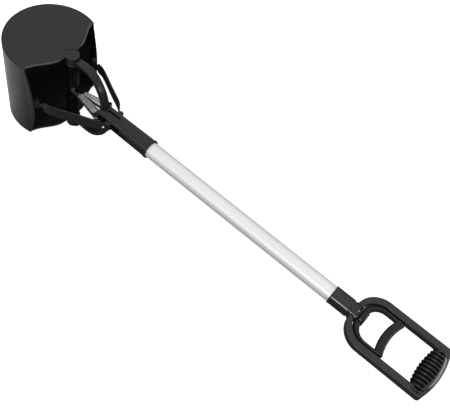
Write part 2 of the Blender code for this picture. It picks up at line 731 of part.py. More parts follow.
def pull_arm(name, side):
    """Pull arm: a tall thin strap that bends in plan, with a narrow eye at each end."""
    run = ARM_EAR_X - LUG_X
    rise = LUG_Y - ARM_EAR_Y
    bends = [(LUG_X + run * along, ARM_EAR_Y + rise * across) for along, across in ARM_BEND_SHARES]
    corners = [(LUG_X, LUG_Y), *bends, (ARM_EAR_X, ARM_EAR_Y)]
    strap = ribbon(bend(corners, ARM_BEND_RADIUS), ARM_THICK / 2, ARM_THICK / 2)
    body = prism(name, [mirrored(strap, side)], -ARM_HALF_HEIGHT, ARM_HALF_HEIGHT,
                 as_cutter=False)
    eye = ARM_EYE_HALF_THICK
    reach = ARM_HALF_HEIGHT + OVERRUN
    lug_ends = sorted((side * (LUG_Y - 2 * LUG_RADIUS), side * (LUG_Y + 2 * LUG_RADIUS)))
    ear_ends = sorted((0, side * ARM_NARROW_Y))
    for end in (-1, 1):
        heights = sorted((end * eye, end * reach))
        cut(body, block(f"{name}_lug_trim_{end}", (LUG_X - 2 * LUG_RADIUS, lug_ends[0], heights[0]),
                        (LUG_X + ARM_NARROW_X, lug_ends[1], heights[1])))
        cut(body, block(f"{name}_ear_trim_{end}", (WING_X, ear_ends[0], heights[0]),
                        (ARM_EAR_X + 2 * ARM_EAR_RADIUS, ear_ends[1], heights[1])))
    for label, x, y, pin in (("lug", LUG_X, LUG_Y, LUG_PIN_RADIUS),
                             ("ear", ARM_EAR_X, ARM_EAR_Y, ARM_PIN_RADIUS)):
        seat = eye if label == "lug" else eye - GAP / 2
        add(body, cylinder(f"{name}_{label}_eye", ARM_EYE_RADIUS, -seat, seat, (x, side * y),
                           sides=SMALL_SIDES + 4))
        cut(body, cylinder(f"{name}_{label}_bore", pin + GAP, -reach, reach, (x, side * y),
                           sides=SMALL_SIDES))
    return dress(body, black_satin, (LUG_X, side * LUG_Y, 0))


def arm_pin(name, side):
    """Pin of a pull arm's inner end, which runs in the slots of the slider's ears."""
    half = ARM_EYE_HALF_THICK + GAP + SLIDER_PLATE_THICK
    pin = cylinder(name, ARM_PIN_RADIUS, -half, half, (ARM_EAR_X, side * ARM_EAR_Y),
                   sides=SMALL_SIDES, as_cutter=False)
    return dress(pin, steel)


def spring_pin(name, side):
    """Pin between the slider's wings that a spring hooks on."""
    half = ARM_EYE_HALF_THICK + GAP + SLIDER_PLATE_THICK
    pin = cylinder(name, SPRING_PIN_RADIUS, -half, half, (WING_X, side * WING_Y),
                   sides=SMALL_SIDES, as_cutter=False)
    return dress(pin, steel)


def spring_route(side):
    """Points of one spring's wire: hook round the hinge rod, coil, hook round the wing's pin."""
    start = Vector((0, 0, -side * SPRING_HINGE_Z))
    end = Vector((WING_X, side * WING_Y, 0))
    along = (end - start).normalized()
    across = Vector((0, 0, 1)).cross(along).normalized()
    upward = along.cross(across)
    length = (end - start).length

    def local(a, b, c=0.0):
        return start + along * a + across * b + upward * c

    hook = HINGE_ROD_RADIUS + SPRING_WIRE_RADIUS + GAP
    points = []
    for degrees in range(60, 301, 30):
        angle = math.radians(degrees)
        points.append(local(hook * math.cos(angle), hook * math.sin(angle)))
    coil = SPRING_COIL_RADIUS
    points.append(local((hook + SPRING_BODY_START) / 2, -(hook + coil) / 2))
    pitch = SPRING_BODY_LENGTH / SPRING_TURNS
    steps = SPRING_TURNS * SPRING_POINTS_PER_TURN
    for i in range(steps + 1):
        turn = i / SPRING_POINTS_PER_TURN
        angle = 2 * math.pi * turn - math.pi / 2
        points.append(local(SPRING_BODY_START + pitch * turn, coil * math.sin(angle),
                            coil * math.cos(angle)))
    far_hook = SPRING_PIN_RADIUS + SPRING_WIRE_RADIUS + GAP
    body_end = SPRING_BODY_START + SPRING_BODY_LENGTH
    points.append(local((body_end + length) / 2, -(far_hook + coil) / 2))
    for degrees in range(-110, 121, 30):
        angle = math.radians(degrees)
        points.append(local(length + far_hook * math.cos(angle), far_hook * math.sin(angle)))
    print("spring gap between turns, mm:", round((pitch - 2 * SPRING_WIRE_RADIUS) * 1000, 3))
    return points


def spring(name, side):
    """Extension spring wound from one wire."""
    curve = bpy.data.curves.new(name, "CURVE")
    curve.dimensions = "3D"
    curve.bevel_depth = SPRING_WIRE_RADIUS
    curve.bevel_resolution = 1
    curve.use_fill_caps = True
    route = spring_route(side)
    spline = curve.splines.new("POLY")
    spline.points.add(len(route) - 1)
    for point, spot in zip(spline.points, route):
        point.co = (*spot, 1.0)
    item = put(curve, name + "_wire", as_cutter=True)
    return dress(put(baked(item), name), bright_steel)


def end_x(y):
    """Where the D's bowed end lies at a place across it."""
    return HANDLE_END_X - END_BOW * (y / (HANDLE_HALF_WIDTH - END_CORNER_RADIUS)) ** 2


def handle_outer():
    """Plan of the D's outer edge."""
    centre = (HANDLE_FRONT_X + ARCH_RADIUS, HANDLE_HALF_WIDTH - ARCH_RADIUS)
    front = arc(centre, ARCH_RADIUS, 180, 90, 9)
    corner_y = HANDLE_HALF_WIDTH - END_CORNER_RADIUS
    corner_x = HANDLE_END_X - END_BOW - END_CORNER_RADIUS
    corner = arc((corner_x, corner_y), END_CORNER_RADIUS, 90, 0, 7)
    bow = []
    for share in (0.66, 0.33, 0.0):
        bow.append((end_x(corner_y * share), corner_y * share))
    half = front + corner + bow
    return half + [(x, -y) for x, y in half[-2::-1]]


def handle_inner(inset=0.0):
    """Plan of the D's inner edge, moved inwards by inset."""
    half_width = HANDLE_HALF_WIDTH - RAIL_WIDTH - inset
    front_x = HANDLE_FRONT_X + ARCH_WALL + inset
    radius = ARCH_INNER_RADIUS - inset
    front = arc((front_x + radius, half_width - radius), radius, 180, 90, 8)
    bar_x = END_BAR_X - inset
    corner = arc((bar_x - BAR_CORNER_RADIUS, half_width - BAR_CORNER_RADIUS), BAR_CORNER_RADIUS,
                 90, 0, 4)
    half = front + corner
    return half + [(x, -y) for x, y in half[::-1]]


def handle_blank():
    """Whole handle before it is split: D frame, end flange, collar and the bores in them."""
    body = prism("handle_blank", [handle_outer(), handle_inner()], -HANDLE_HALF_THICK,
                 HANDLE_HALF_THICK, rounding=HANDLE_ROUNDING)
    places = [FLANGE_HALF_LENGTH * share for share in BOW_SPAN_SHARES]
    flange = [(end_x(y) - EDGE, y) for y in places]
    flange += [(end_x(y) - FLANGE_THICK, y) for y in places[::-1]]
    add(body, prism("handle_flange", [flange], -FLANGE_HALF_HEIGHT, FLANGE_HALF_HEIGHT,
                    rounding=HANDLE_ROUNDING))
    front = COLLAR_START_X
    collar_back = HANDLE_FRONT_X + ARCH_WALL - GAP / 2
    profile = [
        (0, collar_back), (COLLAR_RADIUS - 2 * EDGE, collar_back),
        (COLLAR_RADIUS, HANDLE_FRONT_X - COLLAR_LIP), (COLLAR_RADIUS, front + 4 * COLLAR_LIP),
        (COLLAR_RADIUS + COLLAR_LIP, front + 3 * COLLAR_LIP),
        (COLLAR_RADIUS + COLLAR_LIP, front + COLLAR_LIP), (COLLAR_RADIUS, front), (0, front),
    ]
    add(body, turned("handle_collar", profile, axis="X"))
    cut(body, cylinder("collar_socket", TUBE_RADIUS + GAP, front - OVERRUN, TUBE_END_X + GAP,
                       axis="X"))
    cut(body, cylinder("collar_rod_hole", PULL_ROD_RADIUS + 2 * GAP, front,
                       HANDLE_FRONT_X + ARCH_WALL + OVERRUN, axis="X", sides=SMALL_SIDES))
    cut(body, set_screw_hole("collar_screw_hole", COLLAR_SCREW_X))
    rail_inner = HANDLE_HALF_WIDTH - RAIL_WIDTH
    groove_front = TONGUE_START_X - 2 * TRIGGER_FIT
    groove_back = TONGUE_START_X + TONGUE_LENGTH + TRAVEL + 2 * TRIGGER_FIT
    for side in (-1, 1):
        ends = sorted((side * (rail_inner - OVERRUN), side * (rail_inner + GROOVE_DEPTH)))
        cut(body, block(f"rail_groove_{side}", (groove_front, ends[0], -GROOVE_HALF_HEIGHT),
                        (groove_back, ends[1], GROOVE_HALF_HEIGHT)))
    for name, x, y in handle_screws():
        head_low = -HANDLE_HALF_THICK - OVERRUN
        head_high = -HANDLE_HALF_THICK + SCREW_HEAD_THICK + GAP
        cut(body, cylinder(name + "_seat", SCREW_HEAD_RADIUS + GAP, head_low, head_high, (x, y),
                           sides=SMALL_SIDES))
        tip = -HANDLE_HALF_THICK + SCREW_HEAD_THICK + SCREW_LENGTH + 2 * GAP
        cut(body, cylinder(name + "_hole", SCREW_RADIUS + GAP, head_low, tip, (x, y),
                           sides=SMALL_SIDES))
    return body


def handle_screws():
    """Name and place of each screw that holds the handle's halves together."""
    spots = []
    for end, x in (("front", HANDLE_SCREW_FRONT_X), ("rear", HANDLE_SCREW_REAR_X)):
        for label, side in (("left", -1), ("right", 1)):
            spots.append((f"handle_screw_{end}_{label}", x, side * HANDLE_SCREW_Y))
    return spots


def handle_half(name, blank, end):
    """One half of the handle, above or below the split."""
    bpy.context.view_layer.update()
    graph = bpy.context.evaluated_depsgraph_get()
    mesh = bpy.data.meshes.new_from_object(blank.evaluated_get(graph))
    body = put(mesh, name)
    reach = HANDLE_HALF_WIDTH + COLLAR_RADIUS
    heights = sorted((end * SPLIT_HALF_GAP, -end * reach))
    cut(body, block(name + "_other_side", (COLLAR_START_X - reach, -reach, heights[0]),
                    (HANDLE_END_X + reach, reach, heights[1])))
    return dress(body, black_gloss)


def trigger():
    """Trigger: a D-shaped loop nested in the handle, with a bowed bar to squeeze."""
    outer_inset = TRIGGER_FIT
    half_width = HANDLE_HALF_WIDTH - RAIL_WIDTH - outer_inset
    front_x = trigger_front_x()
    radius = ARCH_INNER_RADIUS - outer_inset
    bar_half = TRIGGER_BAR_WIDTH / 2
    bar_shares = (1.0, 0.66, 0.33, 0.0)
    side_y = half_width - TRIGGER_SIDE

    def bar_x(y, offset):
        return TRIGGER_BAR_X + TRIGGER_BAR_BOW * (y / side_y) ** 2 + offset

    outer_half = arc((front_x + radius, half_width - radius), radius, 180, 90, 8)
    outer_half += [(bar_x(half_width, -GAP), half_width),
                   (bar_x(half_width, bar_half), half_width - TRIGGER_SIDE / 2)]
    outer_half += [(bar_x(side_y * share, bar_half), side_y * share) for share in bar_shares]
    outer = outer_half + [(x, -y) for x, y in outer_half[-2::-1]]

    inner_front = front_x + TRIGGER_ARCH
    inner_radius = TRIGGER_INNER_RADIUS
    inner_half = arc((inner_front + inner_radius, side_y - inner_radius), inner_radius, 180, 90, 7)
    inner_half += [(bar_x(side_y * share, -bar_half), side_y * share) for share in bar_shares]
    inner = inner_half + [(x, -y) for x, y in inner_half[-2::-1]]
    body = prism("trigger", [outer, inner], -TRIGGER_HALF_THICK, TRIGGER_HALF_THICK,
                 rounding=TRIGGER_ROUNDING, as_cutter=False)
    tongue_reach = half_width + GROOVE_DEPTH - TRIGGER_FIT
    for side in (-1, 1):
        ends = sorted((side * (half_width - TRIGGER_SIDE / 2), side * tongue_reach))
        add(body, block(f"trigger_tongue_{side}",
                        (TONGUE_START_X, ends[0], -TONGUE_HALF_HEIGHT),
                        (TONGUE_START_X + TONGUE_LENGTH, ends[1], TONGUE_HALF_HEIGHT)))
    hub = [(0, hub_end_x()), (TRIGGER_HUB_RADIUS - EDGE, hub_end_x()),
           (TRIGGER_HUB_RADIUS, hub_end_x() - EDGE), (TRIGGER_HUB_RADIUS, front_x + EDGE),
           (0, front_x + EDGE)]
    add(body, turned("trigger_hub", hub, axis="X"))
    cut(body, cylinder("trigger_rod_hole", PULL_ROD_RADIUS + GAP, front_x - OVERRUN,
                       hub_end_x() + OVERRUN, axis="X", sides=SMALL_SIDES))
    cut(body, cylinder("trigger_nut_seat", ROD_NUT_RADIUS + GAP, nut_start_x() - GAP,
                       hub_end_x() + OVERRUN, axis="X", sides=SMALL_SIDES))
    return dress(body, black_satin)


def grip():
    """Ribbed barrel grip that wraps the handle's end bar from the inside."""
    profile = []
    rib_pitch = 2 * GRIP_HALF_LENGTH / GRIP_RIBS
    for rib in range(GRIP_RIBS):
        for share, raised in ((0.06, 0), (0.28, 1), (0.72, 1), (0.94, 0)):
            along = GRIP_HALF_LENGTH - rib_pitch * (rib + share)
            fullness = 1 - (along / GRIP_HALF_LENGTH) ** 2
            base = GRIP_END_RADIUS + (GRIP_RADIUS - GRIP_RIB_HEIGHT - GRIP_END_RADIUS) * fullness
            profile.append((base + GRIP_RIB_HEIGHT * raised, along))
    top = profile[0][1]
    bottom = profile[-1][1]
    profile = [(0, top)] + profile + [(0, bottom)]
    body = turned("grip", profile, (GRIP_AXIS_X, 0, 0), axis="Y", sides=GRIP_SIDES,
                  as_cutter=False)
    reach = GRIP_RADIUS + OVERRUN
    frame_half = HANDLE_HALF_THICK + GAP
    rails = prism("grip_rail_room", [handle_outer_wide(), handle_inner(GRIP_CLEARANCE)],
                  -frame_half, frame_half)
    cut(body, rails)
    places = [(GRIP_HALF_LENGTH + OVERRUN) * share for share in BOW_SPAN_SHARES]
    room = [(end_x(y) - FLANGE_THICK - GRIP_CLEARANCE, y) for y in places]
    room += [(HANDLE_END_X + reach, places[-1]), (HANDLE_END_X + reach, places[0])]
    cut(body, prism("grip_flange_room", [room], -reach, reach))
    return dress(body, rubber)


def handle_outer_wide():
    """The D's outer edge, pushed out so that it clears the grip."""
    return [(x + OVERRUN if x > END_BAR_X else x, y * (1 + OVERRUN / HANDLE_HALF_WIDTH))
            for x, y in handle_outer()]


def build():
    jaw("left_jaw", -1, 1, HALF_DRUM - JAW_EAR_THICK - GAP)
    jaw("right_jaw", 1, -1, HALF_DRUM - JAW_EAR_THICK - FORK_UPPER_EAR_THICK - 2 * GAP)
    hinge_rod()
    hinge_cap()
    neck()
    set_screw("neck_screw", NECK_SCREW_X, NECK_END_RADIUS)
    tube()
    slider()
    pull_rod()
    rod_nut()
    for label, side in (("left", -1), ("right", 1)):
        pull_arm(f"{label}_pull_arm", side)
        lug_pin(f"{label}_lug_pin", side)
        arm_pin(f"{label}_arm_pin", side)
        spring(f"{label}_spring", side)
        spring_pin(f"{label}_spring_pin", side)
    blank = handle_blank()
    handle_half("handle_upper", blank, 1)
    handle_half("handle_lower", blank, -1)
    set_screw("collar_screw", COLLAR_SCREW_X, COLLAR_RADIUS)
    for name, x, y in handle_screws():
        screw(name, x, y, -HANDLE_HALF_THICK, SCREW_LENGTH)
    trigger()
    grip()


for leftover in list(bpy.data.objects):
    bpy.data.objects.remove(leftover)
pieces = collection("pooper_scooper")
cutters = collection("cutters")
black_gloss = finish("black_gloss_plastic", (0.020, 0.020, 0.022), 0.28, 0.0)
black_satin = finish("black_satin_plastic", (0.024, 0.024, 0.026), 0.42, 0.0)
rubber = finish("black_rubber", (0.018, 0.018, 0.019), 0.62, 0.0)
aluminium = finish("satin_aluminium", (0.86, 0.87, 0.88), 0.34, 1.0)
steel = finish("plated_steel", (0.58, 0.58, 0.60), 0.30, 1.0)
bright_steel = finish("spring_steel", (0.66, 0.66, 0.68), 0.25, 1.0)
tool_frame = bpy.data.objects.new("tool_frame", None)
tool_frame.location = (-MIDDLE_X, 0, LOWEST)
pieces.objects.link(tool_frame)
build()
bpy.context.view_layer.update()
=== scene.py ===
"""Looks of the spring-closed jaw scooper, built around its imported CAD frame."""

import math

import bmesh
import bpy
import numpy as np
from mathutils import Matrix, Vector


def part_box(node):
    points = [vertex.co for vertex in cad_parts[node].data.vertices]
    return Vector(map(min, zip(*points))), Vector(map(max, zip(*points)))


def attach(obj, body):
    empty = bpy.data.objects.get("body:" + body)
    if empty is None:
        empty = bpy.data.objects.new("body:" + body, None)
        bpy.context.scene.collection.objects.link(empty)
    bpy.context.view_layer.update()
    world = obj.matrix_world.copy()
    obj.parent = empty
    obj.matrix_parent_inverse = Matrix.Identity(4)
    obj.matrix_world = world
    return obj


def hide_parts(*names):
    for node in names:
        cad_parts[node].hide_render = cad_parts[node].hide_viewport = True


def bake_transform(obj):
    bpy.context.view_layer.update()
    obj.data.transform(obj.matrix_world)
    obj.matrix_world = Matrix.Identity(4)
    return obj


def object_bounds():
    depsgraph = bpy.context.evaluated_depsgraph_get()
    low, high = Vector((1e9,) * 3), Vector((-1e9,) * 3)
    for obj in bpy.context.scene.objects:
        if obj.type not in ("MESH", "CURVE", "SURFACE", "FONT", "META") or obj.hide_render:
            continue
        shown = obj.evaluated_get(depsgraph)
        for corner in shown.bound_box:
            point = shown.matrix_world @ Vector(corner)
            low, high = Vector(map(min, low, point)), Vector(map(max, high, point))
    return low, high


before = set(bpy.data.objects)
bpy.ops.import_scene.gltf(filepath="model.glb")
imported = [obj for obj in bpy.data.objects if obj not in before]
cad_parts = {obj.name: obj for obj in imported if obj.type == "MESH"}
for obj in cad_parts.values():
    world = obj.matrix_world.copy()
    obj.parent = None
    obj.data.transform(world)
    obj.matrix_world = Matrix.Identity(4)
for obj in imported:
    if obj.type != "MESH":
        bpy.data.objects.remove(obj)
cad_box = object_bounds()


# The view: the tool lies closed on a pale ground, seen from above, from the left of its handle.
# The hinge axis at the height of the tube's axis is the zero point of all sizes below, so that
# they can be read off the tool itself: +X runs to the grip, +Y to the right jaw, +Z up.
rod_low, rod_high = (np.array(corner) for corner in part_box("hinge_rod"))
tube_low, tube_high = (np.array(corner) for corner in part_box("shaft_tube"))
HINGE = np.array([(rod_low[0] + rod_high[0]) / 2, 0.0, (tube_low[2] + tube_high[2]) / 2])

EYE = np.array([0.5502, -0.5223, 0.8975])
VIEW_RIGHT = np.array([0.7623, 0.6270, 0.1605])
VIEW_AHEAD = np.array([-0.2297, 0.4939, -0.8386])
LENS_MM = 58.58
FILM_MM = 36.0
WHITE_GROUND = 1.0
SKY_LOW = 0.34
SKY_HIGH = 1.02
WHITE = (1.0, 1.0, 1.0, 1.0)
FLOOR_HALF = 6.0
FLOOR_DROP = 0.0005
# The ground's own colour, seen only in reflections and bounced light, is painted light: pale past
# the jaws' far end as a painted reflection on their left walls, and dark under the rest of the tool
# as painted shade.
PAINTED_FLOOR_LIGHT_X = (HINGE[0] - 0.11, HINGE[0] - 0.02)
PAINTED_FLOOR_LIGHT_TONES = (0.80, 0.14)

camera_data = bpy.data.cameras.new("photo_camera")
camera_data.sensor_fit = "HORIZONTAL"
camera_data.sensor_width = FILM_MM
camera_data.lens = LENS_MM
camera_data.clip_start = 0.01
camera_data.clip_end = 50.0
camera = bpy.data.objects.new("photo_camera", camera_data)
bpy.context.scene.collection.objects.link(camera)
ahead = Vector(VIEW_AHEAD).normalized()
right = Vector(VIEW_RIGHT)
right = (right - ahead * right.dot(ahead)).normalized()
upward = right.cross(ahead)
turn = Matrix((right, upward, -ahead)).transposed().to_4x4()
camera.matrix_world = Matrix.Translation(Vector(EYE + HINGE)) @ turn
bpy.context.scene.camera = camera
bpy.context.scene.view_settings.view_transform = "Standard"


def fill_inputs(tree, node, inputs):
    """Set a node's inputs, or link those whose value is another node's output."""
    for name, value in inputs.items():
        if isinstance(value, bpy.types.NodeSocket):
            tree.links.new(value, node.inputs[name])
        else:
            node.inputs[name].default_value = value
    return node.outputs


def maths(tree, operation, *values):
    """Result of a sum on numbers or other nodes' outputs."""
    node = tree.nodes.new("ShaderNodeMath")
    node.operation = operation
    return fill_inputs(tree, node, dict(enumerate(values)))["Value"]


def map_range(tree, value, source, target):
    """Carry a value from one range to another, and no further."""
    return fill_inputs(tree, tree.nodes.new("ShaderNodeMapRange"), {
        "Value": value, "From Min": source[0], "From Max": source[1],
        "To Min": target[0], "To Max": target[1]})["Result"]


def place_of(tree, kind="Object"):
    return tree.nodes.new("ShaderNodeTexCoord").outputs[kind]


def axis_of(tree, place, axis):
    return fill_inputs(tree, tree.nodes.new("ShaderNodeSeparateXYZ"), {"Vector": place})[axis]


world = bpy.data.worlds.new("studio")
bpy.context.scene.world = world
world.use_nodes = True
tree = world.node_tree
tree.nodes.clear()
ray = tree.nodes.new("ShaderNodeLightPath").outputs
seen = maths(tree, "MAXIMUM", ray["Is Camera Ray"], ray["Is Transmission Ray"])
height = axis_of(tree, place_of(tree, "Generated"), "Z")
dome = map_range(tree, height, (0.0, 1.0), (SKY_LOW, SKY_HIGH))
level = map_range(tree, seen, (0.0, 1.0), (dome, WHITE_GROUND))
sky = fill_inputs(tree, tree.nodes.new("ShaderNodeBackground"), {"Color": WHITE, "Strength": level})
fill_inputs(tree, tree.nodes.new("ShaderNodeOutputWorld"), {"Surface": sky["Background"]})


def softbox(name, place, aim, length, width, watts):
    """An area lamp at place that faces aim, both in the tool's own coordinates.

    Its length lies level and across the line to its aim.
    """
    data = bpy.data.lights.new(name, "AREA")
    data.shape = "RECTANGLE"
    data.size = length
    data.size_y = width
    data.energy = watts
    lamp = bpy.data.objects.new(name, data)
    bpy.context.scene.collection.objects.link(lamp)
    spot = Vector(np.array(place) + HINGE)
    away = spot - Vector(np.array(aim) + HINGE)
    lamp.matrix_world = Matrix.Translation(spot) @ away.to_track_quat("Z", "Y").to_matrix().to_4x4()


softbox("key_lamp", (0.10, -1.55, 0.80), (0.10, 0.0, 0.0), 1.9, 0.12, 3.0)
softbox("collar_lamp", (0.47, -1.57, 0.79), (0.52, 0.0, 0.0), 0.36, 0.30, 4.2)
softbox("rim_lamp", (0.98, 0.28, 0.16), (0.66, 0.0, 0.0), 0.34, 0.16, 0.75)

floor_mesh = bpy.data.meshes.new("ground")
floor_corners = [(-FLOOR_HALF, -FLOOR_HALF, 0), (FLOOR_HALF, -FLOOR_HALF, 0),
                 (FLOOR_HALF, FLOOR_HALF, 0), (-FLOOR_HALF, FLOOR_HALF, 0)]
floor_mesh.from_pydata(floor_corners, [], [(0, 1, 2, 3)])
floor = bpy.data.objects.new("ground", floor_mesh)
floor.location.z = cad_box[0][2] - FLOOR_DROP
bpy.context.scene.collection.objects.link(floor)
ground = bpy.data.materials.new("white_ground")
ground.use_nodes = True
tree = ground.node_tree
# Painted light: the ground's colour fades from pale past the jaws to dark under the tool.
painted_floor_light = map_range(tree, axis_of(tree, place_of(tree), "X"), PAINTED_FLOOR_LIGHT_X, PAINTED_FLOOR_LIGHT_TONES)
ray = tree.nodes.new("ShaderNodeLightPath").outputs
fill_inputs(tree, tree.nodes["Principled BSDF"], {
    "Base Color": painted_floor_light, "Roughness": 0.9, "Specular IOR Level": 0.0,
    "Emission Color": WHITE, "Emission Strength": ray["Is Camera Ray"]})
floor.data.materials.append(ground)


# Jaws: two half drums injection-moulded in black ABS, each a wall with an end plate at top and
# bottom. The wall's rim stands just proud of the plates, its back edge bows out between them,
# and each jaw has its own knuckles on the hinge and a lug with two cheeks for the pull arm.
DRUM_RADIUS = 0.072
DRUM_CENTRE = (-0.043, 0.0)
HALF_DRUM = 0.075
JAW_WALL = 0.0025
PLATE_THICK = 0.003
RIM_PROUD = 0.0006
PARTING_HALF_GAP = 0.00012
CORNER_X = -0.0262
WALL_TIP = np.array([-0.0138, 0.0678 - JAW_WALL / 2])
BULGE_SKEW = 0.80
LEAST_REACH = 0.03
BACK_EDGE_DIP = 0.007
BACK_EDGE_SHARE = 0.47
EAR_RADIUS = 0.011
EAR_THICK = 0.006
EAR_ROUNDING = 0.0018
PAD_PLACE = (-0.015, 0.019)
PAD_RADIUS = 0.006
PAD_ROUNDING = 0.0016
TIE_PLACE = (-0.0165, 0.0195)
TIE_RADIUS = 0.0058
BARREL_RADIUS = 0.0095
BARREL_START = 0.010
BARREL_ROUNDING = 0.0006
ROD_RADIUS = 0.003
LUG_X = -0.015
LUG_Y = 0.061
LUG_RADIUS = 0.0052
LUG_ROOT_INSET = 0.001
LUG_CHEEK_THICK = 0.003
EYE_HALF_THICK = 0.004
GAP = 0.0003
EYE_CLEAR = EYE_HALF_THICK + GAP
LIP_RADIUS = 0.0011
LIP_END_SHARE = 0.86
LIP_SINK = 0.6
PLATE_EDGE = 0.00015
EDGE = 0.0005
FLAT_MARGIN = 1.8
MITRE_LIMIT = 0.5
SHARP_ANGLE = 40
FORK_EAR_THICK = 0.006
HINGE_AXIS = (0.0, 0.0)


def unit(vectors):
    """Vectors along the last axis, scaled to length one."""
    return vectors / np.maximum(np.linalg.norm(vectors, axis=-1, keepdims=True), 1e-9)


def direction(line):
    return unit(np.gradient(line, axis=0))


def left_of(along):
    return np.stack([-along[:, 1], along[:, 0]], -1)


def circle(sides):
    """Angles of a full circle's corners."""
    return np.arange(sides) * 2 * np.pi / sides


def arc(centre, radius, a):
    """Points at the angles a on a circle: centre + radius (cos a, sin a)."""
    return np.stack([centre[0] + radius * np.cos(a), centre[1] + radius * np.sin(a)], -1)


def grid_of(x, y, z):
    """Grid of points from coordinates that fill out to one shape."""
    return np.stack(np.broadcast_arrays(x, y, z), -1)


def turned(section, a):
    """A section (radius, x) turned about the tube's axis to each angle: (x, r cos a, r sin a)."""
    a = a[:, None]
    return grid_of(section[:, 1], section[:, 0] * np.cos(a), section[:, 0] * np.sin(a))


def grid_quads(rows, columns, rows_close):
    """Quads of a grid of points numbered row by row. Columns always close on themselves."""
    r, c = np.meshgrid(np.arange(rows if rows_close else rows - 1), np.arange(columns),
                       indexing="ij")
    below = (r + 1) % rows
    beside = (c + 1) % columns
    quads = (r * columns + c, r * columns + beside, below * columns + beside, below * columns + c)
    return np.stack(quads, -1).reshape(-1, 4).tolist()


def closed_piece(name, shells, material, body, *stands_for, slot=None):
    """One object from closed shells of grid points in the tool's coordinates.

    A shell is (points, rows_close): points has a row for each step along the shape and a column
    for each step around it. Open rows get a flat cap at both ends.
    """
    points = []
    faces = []
    count = 0
    for grid, rows_close in shells:
        rows, columns = grid.shape[:2]
        points.append(grid.reshape(-1, 3))
        faces += (np.array(grid_quads(rows, columns, rows_close)) + count).tolist()
        if not rows_close:
            faces.append(list(range(count + columns - 1, count - 1, -1)))
            last = count + (rows - 1) * columns
            faces.append(list(range(last, last + columns)))
        count += rows * columns
    mesh = bpy.data.meshes.new(name)
    mesh.from_pydata((np.concatenate(points) + HINGE).tolist(), [], faces)
    obj = bpy.data.objects.new(name, mesh)
    bpy.context.scene.collection.objects.link(obj)
    face_outwards(mesh)
    mesh.shade_smooth()
    mesh.set_sharp_from_angle(angle=math.radians(SHARP_ANGLE))
    mesh.materials.append(material)
    if body:
        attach(obj, body)
    if stands_for:
        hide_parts(*stands_for)
    return obj


def face_outwards(mesh):
    """Turn every shell's faces outwards."""
    shape = bmesh.new()
    shape.from_mesh(mesh)
    bmesh.ops.recalc_face_normals(shape, faces=shape.faces)
    shape.to_mesh(mesh)
    shape.free()


def loop_normals(outline):
    """Normals that point out of a closed plane outline, longer where it turns a corner."""
    ahead = unit(np.roll(outline, -1, 0) - outline)
    behind = unit(outline - np.roll(outline, 1, 0))
    area = np.sum(outline[:, 0] * np.roll(outline[:, 1], -1)
                  - outline[:, 1] * np.roll(outline[:, 0], -1))
    spread = 1 / np.maximum(np.sqrt((1 + np.sum(ahead * behind, 1)) / 2), MITRE_LIMIT)
    return -left_of(unit(ahead + behind)) * np.sign(area) * spread[:, None]


def rounded_side(low, high, rounding):
    """Insets and heights of the steps up a side whose two edges are rounded."""
    t = np.linspace(0, np.pi / 2, 4)
    by_cos = rounding * (1 - np.cos(t))
    by_sin = rounding * (1 - np.sin(t))
    return np.concatenate([by_sin, by_cos]), np.concatenate([low + by_cos, high - by_sin])


def plate(outline, low, high, rounding=EDGE, along_x=False):
    """Flat plate from low to high, in Z or along X, with rounded edges.

    Rows go up through the plate: the outline moves in by r (1 - cos t) while the height
    moves by r (1 - sin t) at both edges, and one more row lies flat just inside each edge.
    """
    inset, level = rounded_side(low, high, rounding)
    margin = [rounding * FLAT_MARGIN]
    inset = np.concatenate([margin, inset, margin])
    level = np.concatenate([[low], level, [high]])
    flat = outline - loop_normals(outline) * inset[:, None, None]
    grid = grid_of(flat[..., 0], flat[..., 1], level[:, None])
    return grid[..., [2, 0, 1]] if along_x else grid, False


def disc(centre, radius, low, high, rounding=EDGE):
    """Round boss or pin: a circle of points carried from low to high with rounded edges."""
    return plate(arc(centre, radius, circle(48)), low, high, rounding)


def ring_tube(centre, radius, bore, low, high, rounding=EDGE):
    """Round ear with a bore: the closed section (radius, height) turned about the ear's axis."""
    inset, level = rounded_side(low, high, rounding)
    flat = radius - 2 * rounding
    section = np.stack([np.concatenate([[flat], radius - inset, [flat, bore, bore]]),
                        np.concatenate([[low], level, [high, high, low]])], -1)
    return turned(section, circle(48))[..., [1, 2, 0]] + (*centre, 0.0), True


def two_circle_hull(first, first_radius, second, second_radius):
    """Outline of two circles joined by their outer tangents."""
    gap = np.array(second) - np.array(first)
    heading = np.arctan2(gap[1], gap[0])
    lean = np.arcsin((first_radius - second_radius) / np.linalg.norm(gap))
    a = np.linspace(heading + np.pi / 2 - lean, heading + 1.5 * np.pi + lean, 14)
    b = np.linspace(heading - np.pi / 2 + lean, heading + np.pi / 2 - lean, 14)
    return np.concatenate([arc(first, first_radius, a), arc(second, second_radius, b)])


def drum_arc(radius, half_gap, count):
    """The drum's circle from a half gap beside the parting to the corner by the hinge."""
    parting = np.pi - np.arcsin(half_gap / radius)
    corner = np.arccos((CORNER_X - DRUM_CENTRE[0]) / radius)
    return arc(DRUM_CENTRE, radius, np.linspace(parting, corner, count))


def wall_line(height):
    """Middle line of a jaw's wall at one height, with the unit normal out of the drum.

    It follows the drum's circle from the parting to the corner, then goes straight on to the
    bowed back edge, which lies further back the nearer the height is to the middle.
    """
    curve = drum_arc(DRUM_RADIUS - JAW_WALL / 2, PARTING_HALF_GAP + JAW_WALL / 2, 72)
    corner = curve[-1]
    bulge = np.sin(np.pi * np.clip((height / HALF_DRUM + 1) / 2, 0, 1) ** BULGE_SKEW)
    back_x = CORNER_X + (WALL_TIP[0] - CORNER_X) * bulge - JAW_WALL / 2
    reach = max((back_x - corner[0]) / (WALL_TIP[0] - corner[0]), LEAST_REACH)
    share = np.linspace(0, 1, 7)[1:, None]
    line = np.concatenate([curve, corner + (WALL_TIP - corner) * share * reach])
    return line, left_of(direction(line))


